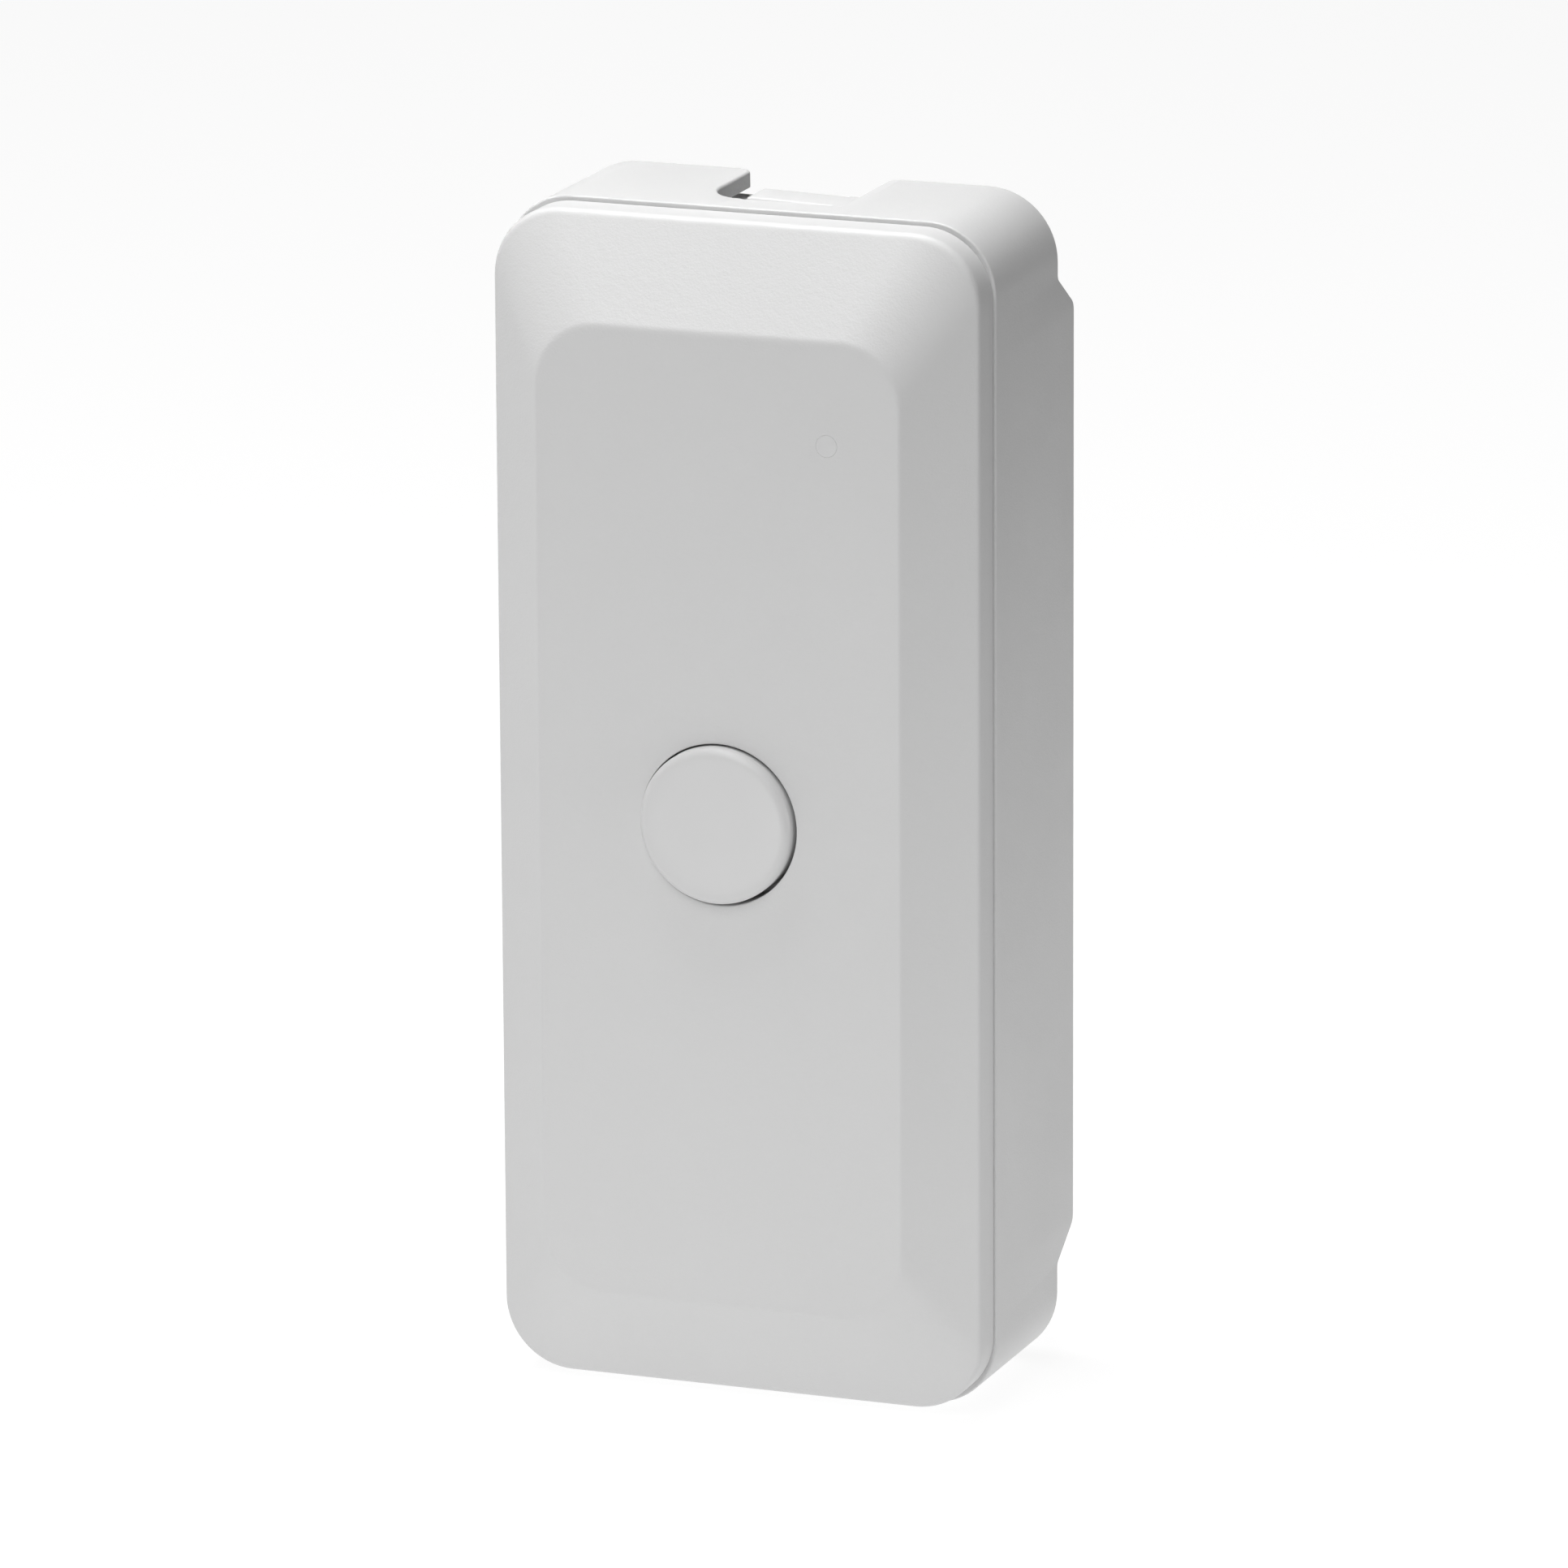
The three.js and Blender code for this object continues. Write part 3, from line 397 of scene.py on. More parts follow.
@dataclass
class Graph:
    """A material's node tree, with short calls to add nodes and join them.

    Attributes:
        material: The material that the tree belongs to.
    """

    material: bpy.types.Material

    @classmethod
    def start(cls, name: str) -> "Graph":
        """Makes an empty material that holds only its shader.

        Args:
            name: The material's name.

        Returns:
            The tree of a new material.
        """
        material = bpy.data.materials.new(name)
        material.use_nodes = True
        return cls(material)

    @property
    def shader(self) -> bpy.types.Node:
        """The material's Principled shader."""
        return self.material.node_tree.nodes["Principled BSDF"]

    def add(self, kind: str, inputs: dict[str, object] | None = None, **settings: object) -> bpy.types.Node:
        """Adds a node.

        Args:
            kind: Blender's node type.
            inputs: Socket values, or sockets to link, by input name.
            settings: Properties set on the node itself.

        Returns:
            The new node.
        """
        node = self.material.node_tree.nodes.new(kind)
        for key, value in settings.items():
            setattr(node, key, value)
        for key, value in (inputs or {}).items():
            self.feed(node.inputs[key], value)
        return node

    def feed(self, socket: bpy.types.NodeSocket, value: object) -> None:
        """Links a socket to another one, or gives it a plain value."""
        if isinstance(value, bpy.types.NodeSocket):
            self.material.node_tree.links.new(value, socket)
        else:
            socket.default_value = value

    def place(self) -> bpy.types.NodeSocket:
        """The surface point in the object's own metres."""
        return self.add("ShaderNodeTexCoord").outputs["Object"]

    def stretched(self, scale: Sequence[float]) -> bpy.types.NodeSocket:
        """The surface point scaled differently along x, y and z."""
        return self.add("ShaderNodeMapping", {"Vector": self.place(), "Scale": scale}).outputs["Vector"]

    def noise(
        self, scale: float, detail: float = 2.0, rough: float = 0.5, at: bpy.types.NodeSocket | None = None
    ) -> bpy.types.NodeSocket:
        """Fractal noise over the surface, from 0 to 1.

        Args:
            scale: Blotches per metre.
            detail: Octaves of finer noise.
            rough: How strong each finer octave is.
            at: Where to read it; the plain surface point if left out.

        Returns:
            The noise socket.
        """
        values = {"Vector": at or self.place(), "Scale": scale, "Detail": detail, "Roughness": rough}
        return self.add("ShaderNodeTexNoise", values).outputs["Fac"]

    def spread(self, value: bpy.types.NodeSocket, low: float, high: float) -> bpy.types.NodeSocket:
        """Maps the middle of a noise value on to a range."""
        values = {"Value": value, "From Min": 0.3, "From Max": 0.7, "To Min": low, "To Max": high}
        return self.add("ShaderNodeMapRange", values).outputs["Result"]

    def tint(self, value: bpy.types.NodeSocket, first: Colour, second: Colour) -> bpy.types.NodeSocket:
        """Blends two colours by a value from 0 to 1.

        Args:
            value: The mix, from 0 to 1.
            first: The colour at 0.
            second: The colour at 1.

        Returns:
            The colour output.
        """
        mix = self.add("ShaderNodeMix", data_type="RGBA")
        self.feed(mix.inputs["Factor"], value)
        self.feed(mix.inputs["A"], (*first, 1.0))
        self.feed(mix.inputs["B"], (*second, 1.0))
        return mix.outputs["Result"]

    def bump(
        self, height: bpy.types.NodeSocket, depth: float, under: bpy.types.NodeSocket | None = None
    ) -> bpy.types.NodeSocket:
        """Tilts the surface by a height field.

        Args:
            height: The height, from 0 to 1.
            depth: How deep the full height is, in metres.
            under: A coarser bump that this one lies on.

        Returns:
            The new normal.
        """
        node = self.add("ShaderNodeBump", {"Height": height, "Distance": depth, "Strength": 1.0})
        if under is not None:
            self.feed(node.inputs["Normal"], under)
        return node.outputs["Normal"]

    def set(self, **values: object) -> None:
        """Gives the shader's sockets values or links; underscores stand for spaces."""
        for key, value in values.items():
            self.feed(self.shader.inputs[key.replace("_", " ")], value)


def scaled(colour: Colour, factor: float) -> Colour:
    """A colour made lighter or darker, each channel kept at one or less."""
    return tuple(min(1.0, channel * factor) for channel in colour)


@dataclass(frozen=True)
class MouldedPlastic:
    """Injection-moulded plastic with a spark-eroded grain.

    Attributes:
        name: The material's name.
        colour: The resin's colour.
        roughness: Mean roughness.
        grain: Grain size in metres.
        depth: Grain depth in metres.
    """

    name: str
    colour: Colour
    roughness: float = 0.5
    grain: float = 0.22 * MM
    depth: float = 0.012 * MM

    def make(self) -> bpy.types.Material:
        """Builds the material: flow blotches in the colour, worn roughness and two grains.

        Returns:
            The material.
        """
        g = Graph.start(self.name)
        flow = g.noise(60.0, 3.0, 0.6)
        fine = g.noise(1.0 / self.grain, 2.0, 0.65)
        coarse = g.noise(0.22 / self.grain, 2.0, 0.5)
        handled = g.noise(140.0, 4.0, 0.65)
        g.set(
            Base_Color=g.tint(g.spread(flow, 0.0, 1.0), scaled(self.colour, 0.985), self.colour),
            Roughness=g.spread(handled, self.roughness - 0.04, self.roughness + 0.05),
            Normal=g.bump(fine, self.depth, g.bump(coarse, self.depth * 0.9)),
            IOR=1.5,
        )
        return g.material


@dataclass(frozen=True)
class SheetMetal:
    """Rolled or drawn metal with fine lines along one direction.

    Attributes:
        name: The material's name.
        colour: The metal's colour.
        roughness: Mean roughness.
        lines: How strongly the pattern is stretched along x, y and z.
    """

    name: str
    colour: Colour
    roughness: float = 0.28
    lines: tuple[float, float, float] = (1.0, 1.0, 0.06)

    def make(self) -> bpy.types.Material:
        """Builds the material: stretched lines, faint tarnish and tiny dents.

        Returns:
            The material.
        """
        g = Graph.start(self.name)
        rolling = g.noise(9000.0, 2.0, 0.6, g.stretched(self.lines))
        tarnish = g.noise(420.0, 4.0, 0.6)
        g.set(
            Base_Color=g.tint(g.spread(tarnish, 0.0, 1.0), scaled(self.colour, 0.86), self.colour),
            Roughness=g.spread(rolling, self.roughness - 0.07, self.roughness + 0.09),
            Normal=g.bump(rolling, 0.004 * MM),
            Metallic=1.0,
        )
        return g.material


@dataclass(frozen=True)
class SolderMask:
    """Green lacquer over glass cloth.

    Attributes:
        name: The material's name.
        colour: The lacquer's colour.
        weave: How strongly the glass cloth shows through.
    """

    name: str = "board_solder_mask"
    colour: Colour = (0.016, 0.15, 0.06)
    weave: float = 0.8

    def make(self) -> bpy.types.Material:
        """Builds the material: cloth seen through the lacquer, orange peel and faint clouds.

        Returns:
            The material.
        """
        g = Graph.start(self.name)
        warp = g.add(
            "ShaderNodeTexWave",
            {"Vector": g.place(), "Scale": 700.0, "Distortion": 0.6},
            bands_direction="X",
        )
        weft = g.add(
            "ShaderNodeTexWave",
            {"Vector": g.place(), "Scale": 700.0, "Distortion": 0.6},
            bands_direction="Z",
        )
        cloth = g.add(
            "ShaderNodeMath", {0: warp.outputs["Fac"], 1: weft.outputs["Fac"]}, operation="MULTIPLY"
        )
        clouds = g.noise(260.0, 3.0)
        shade = g.add("ShaderNodeMath", {0: cloth.outputs["Value"], 1: clouds}, operation="MULTIPLY")
        g.set(
            Base_Color=g.tint(
                shade.outputs["Value"],
                scaled(self.colour, 1.0 - 0.35 * self.weave),
                scaled(self.colour, 1.3),
            ),
            Roughness=g.spread(g.noise(800.0, 3.0), 0.24, 0.34),
            Normal=g.bump(g.noise(2600.0, 2.0), 0.006 * MM, g.bump(cloth.outputs["Value"], 0.003 * MM)),
            IOR=1.52,
        )
        return g.material


@dataclass(frozen=True)
class ClearResin:
    """Milky or clear cast resin that light goes into.

    Attributes:
        name: The material's name.
        colour: The resin's colour.
        roughness: Surface roughness.
        clearness: Share of light that goes straight through.
    """

    name: str
    colour: Colour
    roughness: float = 0.25
    clearness: float = 0.25

    def make(self) -> bpy.types.Material:
        """Builds the material: faint flow lines, and a soft depth by light inside the resin.

        Returns:
            The material.
        """
        g = Graph.start(self.name)
        flow = g.noise(900.0, 2.0, 0.5)
        g.set(
            Base_Color=g.tint(g.spread(flow, 0.0, 1.0), scaled(self.colour, 0.96), self.colour),
            Roughness=g.spread(g.noise(2500.0, 2.0), self.roughness - 0.05, self.roughness + 0.05),
            Normal=g.bump(g.noise(4000.0, 2.0), 0.003 * MM),
            Transmission_Weight=self.clearness,
            IOR=1.49,
        )
        return g.material


@dataclass
class Palette:
    """Every finish of the object, made once and shared by its pieces.

    Attributes:
        shell: White moulded plastic of the case.
        button: Smoother white plastic of the button.
        pipe: Milky resin of the light pipe.
        black: Black plastic of the switch and the capacitor's foot.
        cradle: Dark grey plastic of the cell's cradle.
        board: Green lacquered board.
        tin: Tinned contacts, legs and solder.
        steel: Nickel-plated steel of the screws, the cell and the spring.
        aluminium: The capacitor's can.
        copper: The antenna's wire.
        wrap: The cell's blue sleeve.
        resin: Black resin of the chips.
        ceramic: Brown ceramic of the small capacitors.
        lens: Clear resin of the light's dome.
        ink: White print on the board.
        track: Lacquer over copper tracks.
    """

    shell: bpy.types.Material = field(init=False)
    button: bpy.types.Material = field(init=False)
    pipe: bpy.types.Material = field(init=False)
    black: bpy.types.Material = field(init=False)
    cradle: bpy.types.Material = field(init=False)
    board: bpy.types.Material = field(init=False)
    tin: bpy.types.Material = field(init=False)
    steel: bpy.types.Material = field(init=False)
    aluminium: bpy.types.Material = field(init=False)
    copper: bpy.types.Material = field(init=False)
    wrap: bpy.types.Material = field(init=False)
    resin: bpy.types.Material = field(init=False)
    ceramic: bpy.types.Material = field(init=False)
    lens: bpy.types.Material = field(init=False)
    ink: bpy.types.Material = field(init=False)
    track: bpy.types.Material = field(init=False)

    def __post_init__(self) -> None:
        """Makes the finishes."""
        self.shell = MouldedPlastic("white_shell", (0.62, 0.62, 0.62), 0.5, 0.15 * MM, 0.017 * MM).make()
        self.button = MouldedPlastic("white_button", (0.62, 0.62, 0.62), 0.36, 0.2 * MM, 0.005 * MM).make()
        self.pipe = ClearResin("milky_pipe", (0.62, 0.62, 0.62), 0.4, 0.0).make()
        self.black = MouldedPlastic(
            "black_switch", (0.018, 0.018, 0.02), 0.45, 0.12 * MM, 0.006 * MM
        ).make()
        self.cradle = MouldedPlastic("grey_cradle", (0.075, 0.08, 0.085), 0.52, 0.18 * MM, 0.01 * MM).make()
        self.board = SolderMask().make()
        self.track = SolderMask("covered_track", (0.03, 0.235, 0.1), 0.2).make()
        self.tin = SheetMetal("tin_plate", (0.64, 0.65, 0.65), 0.27).make()
        self.steel = SheetMetal("nickel_steel", (0.56, 0.56, 0.55), 0.24, (0.08, 1.0, 1.0)).make()
        self.aluminium = SheetMetal("drawn_aluminium", (0.74, 0.75, 0.76), 0.3, (1.0, 0.05, 1.0)).make()
        self.copper = SheetMetal("copper_wire", (0.75, 0.36, 0.20), 0.22, (1.0, 1.0, 0.2)).make()
        self.wrap = MouldedPlastic("cell_wrap", (0.02, 0.13, 0.24), 0.28, 0.5 * MM, 0.006 * MM).make()
        self.resin = MouldedPlastic("chip_resin", (0.022, 0.022, 0.024), 0.55, 0.09 * MM, 0.006 * MM).make()
        self.ceramic = MouldedPlastic(
            "fired_ceramic", (0.36, 0.23, 0.12), 0.5, 0.15 * MM, 0.006 * MM
        ).make()
        self.lens = ClearResin("led_lens", (0.9, 0.88, 0.78), 0.12, 0.6).make()
        self.ink = MouldedPlastic("white_ink", (0.7, 0.7, 0.68), 0.6, 0.1 * MM, 0.003 * MM).make()


# ---- Pieces -------------------------------------------------------------------------


@dataclass
class Piece:
    """One closed mesh that stands for a node of the frame.

    Attributes:
        name: The piece's name.
        skin: Its first closed skin.
        body: The body of the frame that it rides on.
        slot: The record's material slot that its finish belongs to; not used.
        nodes: The nodes that it replaces.
        thing: Its mesh object.
    """

    name: str
    skin: Skin
    body: str
    slot: str
    nodes: tuple[str, ...]
    thing: bpy.types.Object = field(init=False)

    def __post_init__(self) -> None:
        """Puts the skin into a mesh object at the origin."""
        self.thing = self.solid_object(self.name, self.skin)

    @staticmethod
    def solid_object(name: str, skin: Skin) -> bpy.types.Object:
        """Makes a mesh object from a skin.

        Args:
            name: The object's name.
            skin: Its surface.

        Returns:
            The object, at the origin.
        """
        mesh = bpy.data.meshes.new(name)
        mesh.from_pydata(skin.points.tolist(), [], skin.faces)
        mesh.update()
        thing = bpy.data.objects.new(name, mesh)
        bpy.context.collection.objects.link(thing)
        return thing

    def bake(self) -> None:
        """Makes the modifiers' result the piece's own mesh."""
        graph = bpy.context.evaluated_depsgraph_get()
        result = bpy.data.meshes.new_from_object(self.thing.evaluated_get(graph))
        old = self.thing.data
        self.thing.modifiers.clear()
        self.thing.data = result
        bpy.data.meshes.remove(old)

    def combine(self, how: Join, *skins: Skin) -> "Piece":
        """Joins other closed skins to the piece, or cuts them from it.

        Args:
            how: Whether each skin is added, cut away or kept in common.
            skins: The closed skins.

        Returns:
            The piece itself.
        """
        for skin in skins:
            tool = self.solid_object(f"{self.name}_tool", skin)
            modifier = self.thing.modifiers.new("combine", "BOOLEAN")
            modifier.operation = how.value
            modifier.solver = "MANIFOLD"
            modifier.object = tool
            self.bake()
            data = tool.data
            bpy.data.objects.remove(tool)
            bpy.data.meshes.remove(data)
        return self

    def round_edges(self, width: float, sharper_than: float = 60.0, segments: int = 3) -> "Piece":
        """Rounds every edge sharper than an angle in degrees.

        Args:
            width: Width of the rounding.
            sharper_than: The angle.
            segments: Steps across it.

        Returns:
            The piece itself.
        """
        modifier = self.thing.modifiers.new("round", "BEVEL")
        modifier.width = width
        modifier.segments = segments
        modifier.limit_method = "ANGLE"
        modifier.angle_limit = math.radians(sharper_than)
        self.bake()
        return self

    def finish(self, material: bpy.types.Material, sharp: float = 32.0) -> bpy.types.Object:
        """Dresses the piece, shades it and hands it to the frame.

        Args:
            material: The finish.
            sharp: Edges sharper than this angle in degrees stay crisp.

        Returns:
            The piece's object.
        """
        mesh = self.thing.data
        mesh.materials.clear()
        mesh.materials.append(material)
        mesh.shade_smooth()
        mesh.set_sharp_from_angle(angle=math.radians(sharp))
        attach(self.thing, self.body)
        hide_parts(*self.nodes)
        LOG.info("%s: %d faces on %s", self.name, len(mesh.polygons), self.body)
        return self.thing


def node_box(name: str) -> tuple[Array, Array]:
    """The lowest and highest corners of a node of the frame."""
    low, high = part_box(name)
    return np.array(low), np.array(high)


# ---- Front cover, light pipe and button ---------------------------------------------


@dataclass
class FrontCover:
    """The bevelled cover: plateau, flanks, skirt, tongue, guide and latch finger.

    Attributes:
        palette: The shared finishes.
        plateau: Half width and half height of the flat plateau.
        flank: Depth of the sloping flanks.
        plateau_radius: Corner radius of the plateau.
        corner: Corner radius of the skirt.
        hole: Radius of the button hole.
        guide_end: Depth at which the button guide ends.
        wall: Thickness of the plateau.
        gap: Width of the parting line.
        tongue_gap: Play between the tongue and the housing.
        tongue_wall: Thickness of the tongue.
        tongue_reach: How far the tongue goes behind the parting line.
        side_wall: Thickness of the housing's long walls.
        end_wall: Thickness of the housing's top and bottom walls.
    """

    palette: Palette
    plateau: tuple[float, float] = (12.65 * MM, 32.82 * MM)
    flank: float = 3.57 * MM
    plateau_radius: float = 4.3 * MM
    corner: float = 4.7 * MM
    hole: float = 5.46 * MM
    guide_end: float = -18.44 * MM
    wall: float = 1.2 * MM
    gap: float = 0.04 * MM
    tongue_gap: float = 0.14 * MM
    tongue_wall: float = 0.9 * MM
    tongue_reach: float = 1.75 * MM
    side_wall: float = 1.2 * MM
    end_wall: float = 1.1 * MM

    def stations(self) -> Array:
        """The closed path of rings from the bore, over the front, and back along the inside.

        Returns:
            Rows of (half_x, half_z, r, y, w, R) for the loft, rounded at each corner.
        """
        low, high = node_box("front_cover")
        shell_low, shell_high = node_box("rear_housing")
        front, rim = low[1], low[1] + self.flank
        parting = shell_low[1]
        half_x, half_z = high[0], high[2]
        inside_x = shell_high[0] - self.side_wall - self.tongue_gap
        inside_z = shell_high[2] - self.end_wall - self.tongue_gap
        inner_x, inner_z = inside_x - self.tongue_wall, inside_z - self.tongue_wall
        px, pz = self.plateau
        back = parting - self.gap
        tongue = parting + self.tongue_reach
        ceiling = front + self.wall
        hole, guide = self.hole, self.hole + 1.4 * MM
        rp, rc = self.plateau_radius, self.corner
        rows = [
            ((px, pz, rp, self.guide_end, 1, hole), 0.1),
            ((px, pz, rp, front, 1, hole), 0.07),
            ((px, pz, rp, front, 0, hole), 0.3),
            ((half_x, half_z, rc, rim, 0, hole), 0.45),
            ((half_x, half_z, rc, back, 0, hole), 0.04),
            ((inside_x, inside_z, rc - self.side_wall, back, 0, hole), 0.1),
            ((inside_x, inside_z, rc - self.side_wall, tongue, 0, hole), 0.2),
            ((inner_x, inner_z, 2.7 * MM, tongue, 0, hole), 0.2),
            ((inner_x, inner_z, 2.7 * MM, rim + 0.1 * MM, 0, hole), 0.4),
            ((px - 0.6 * MM, pz - 0.7 * MM, 3.6 * MM, ceiling, 0, hole), 0.4),
            ((px, pz, rp, ceiling, 1, guide), 0.3),
            ((px, pz, rp, self.guide_end, 1, guide), 0.15),
        ]
        corners = np.array([row for row, _ in rows])
        scale = np.array([1, 1, 1, 1, 20 * MM, 1])
        trims = np.array([trim for _, trim in rows]) * MM
        return soften(corners * scale, trims, steps=7, closed=True) / scale

    def build(self) -> bpy.types.Object:
        """Makes the cover and the features on its inside.

        Returns:
            The piece's object.
        """
        low, _ = node_box("front_cover")
        ceiling = low[1] + self.wall
        piece = Piece(
            "cover_shell",
            weave(loft(self.stations()), wrap=True),
            "cover",
            "shell_plastic",
            ("front_cover",),
        )
        ribs = [
            soft_block(
                (-12.4 * MM, ceiling - 0.4 * MM, z - 0.4 * MM),
                (12.4 * MM, ceiling + 0.8 * MM, z + 0.4 * MM),
                0.15 * MM,
            )
            for z in np.array([-24, -15, 15, 21]) * MM
        ]
        pipe_low, pipe_high = node_box("light_pipe")
        centre = (pipe_low + pipe_high) / 2
        reach = (pipe_high[0] - pipe_low[0]) / 2
        boss_end = low[1] + self.flank + 0.6 * MM
        boss = rod(reach + 1 * MM, ceiling - 0.4 * MM, boss_end, centre)
        parting = node_box("rear_housing")[0][1]
        finger = soft_block(
            (-0.8 * MM, parting - 0.4 * MM, 36.9 * MM), (3.4 * MM, -10.24 * MM, 37.95 * MM), 0.15 * MM
        )
        root = soft_block(
            (-0.8 * MM, parting - 0.5 * MM, 36.9 * MM),
            (3.4 * MM, parting + self.tongue_reach, 38.6 * MM),
            0.1 * MM,
        )
        piece.combine(Join.ADD, boss, finger, root, *ribs)
        narrow = 0.737 * MM
        bore = rod(narrow, low[1] - 1 * MM, ceiling + 1 * MM, centre)
        socket = rod(reach + 0.05 * MM, ceiling, boss_end + 1 * MM, centre)
        piece.combine(Join.CUT, bore, socket)
        return piece.finish(self.palette.shell)


@dataclass
class LightPipe:
    """The milky rod that carries the status light to the plateau.

    Attributes:
        palette: The shared finishes.
        tip: Radius of the thin end in the plateau.
        wall: Length of the thin end.
    """

    palette: Palette
    tip: float = 0.73 * MM
    wall: float = 1.25 * MM

    def build(self) -> bpy.types.Object:
        """Makes the stepped rod, flush with the plateau.

        Returns:
            The piece's object.
        """
        low, high = node_box("light_pipe")
        reach = (high[0] - low[0]) / 2
        shoulder = low[1] + self.wall
        corners = np.array(
            [
                (0.05 * MM, low[1]),
                (self.tip, low[1]),
                (self.tip, shoulder),
                (reach, shoulder),
                (reach, high[1]),
                (0.05 * MM, high[1]),
            ]
        )
        trims = np.array([0, 0.012, 0.02, 0.1, 0.1, 0]) * MM
        skin = turned(soften(corners, trims, steps=5, guard=0.05 * MM), (low + high) / 2, sides=48)
        return Piece(
            "light_pipe_rod", skin, "cover", "pipe_plastic", ("light_pipe",)
        ).finish(self.palette.pipe)


@dataclass
class PushButton:
    """The round button: a domed cap, a barrel, a flange and a stem.

    Attributes:
        palette: The shared finishes.
        radius: Radius of the cap's side.
        fall: How far the face drops from its middle to the side.
        softness: Length over which the drop dies away inwards.
        reach: How far inwards the drop is carried.
        drift: How far the cap sits off the middle, to the left and up.
        stem: Radius of the stem.
        flange_depth: Thickness of the flange.
        cap: Thickness of the cap.
    """

    palette: Palette
    radius: float = 5.27 * MM
    fall: float = 0.46 * MM
    softness: float = 0.23 * MM
    reach: float = 2.2 * MM
    drift: tuple[float, float] = (-0.06 * MM, 0.045 * MM)
    stem: float = 1.6 * MM
    flange_depth: float = 0.8 * MM
    cap: float = 1.2 * MM

    def dome(self, front: float) -> Array:
        """The cap's profile from its face to its side.

        At a distance from the side, the drop is the fall times e to minus the distance over
        the softness, less what is left of it at the full reach, where the face is flat.

        Args:
            front: Depth of the face.

        Returns:
            Rows of (radius, depth), outwards.
        """
        inwards = self.reach * np.linspace(1, 0, 30) ** 1.7
        left = np.exp(-inwards / self.softness) - math.exp(-self.reach / self.softness)
        return np.stack([self.radius - inwards, front + self.fall * left], axis=-1)

    def build(self) -> bpy.types.Object:
        """Makes the button as one turned body.

        Returns:
            The piece's object.
        """
        low, high = node_box("push_button")
        flange = high[0] - abs(self.drift[0]) - abs(self.drift[1])
        front, end = low[1], high[1]
        flange_front = FrontCover.guide_end + 0.15 * MM
        flange_back = flange_front + self.flange_depth
        hollow = self.radius - 1 * MM
        behind = np.array(
            [
                (self.radius, flange_front - 0.6 * MM),
                (self.radius, flange_front),
                (flange, flange_front),
                (flange, flange_back),
                (hollow, flange_back),
                (hollow, front + self.cap),
                (self.stem, front + self.cap),
                (self.stem, end),
                (0.05 * MM, end),
            ]
        )
        trims = np.array([0, 0.08, 0.12, 0.12, 0.1, 0.3, 0.3, 0.2, 0]) * MM
        profile = np.concatenate([[(0.05 * MM, front)], self.dome(front), soften(behind, trims, steps=5)])
        skin = turned(profile, (self.drift[0], 0, self.drift[1]), sides=144)
        return Piece(
            "button_cap", skin, "button", "button_plastic", ("push_button",)
        ).finish(self.palette.button)


# ---- Rear housing and release tab ---------------------------------------------------


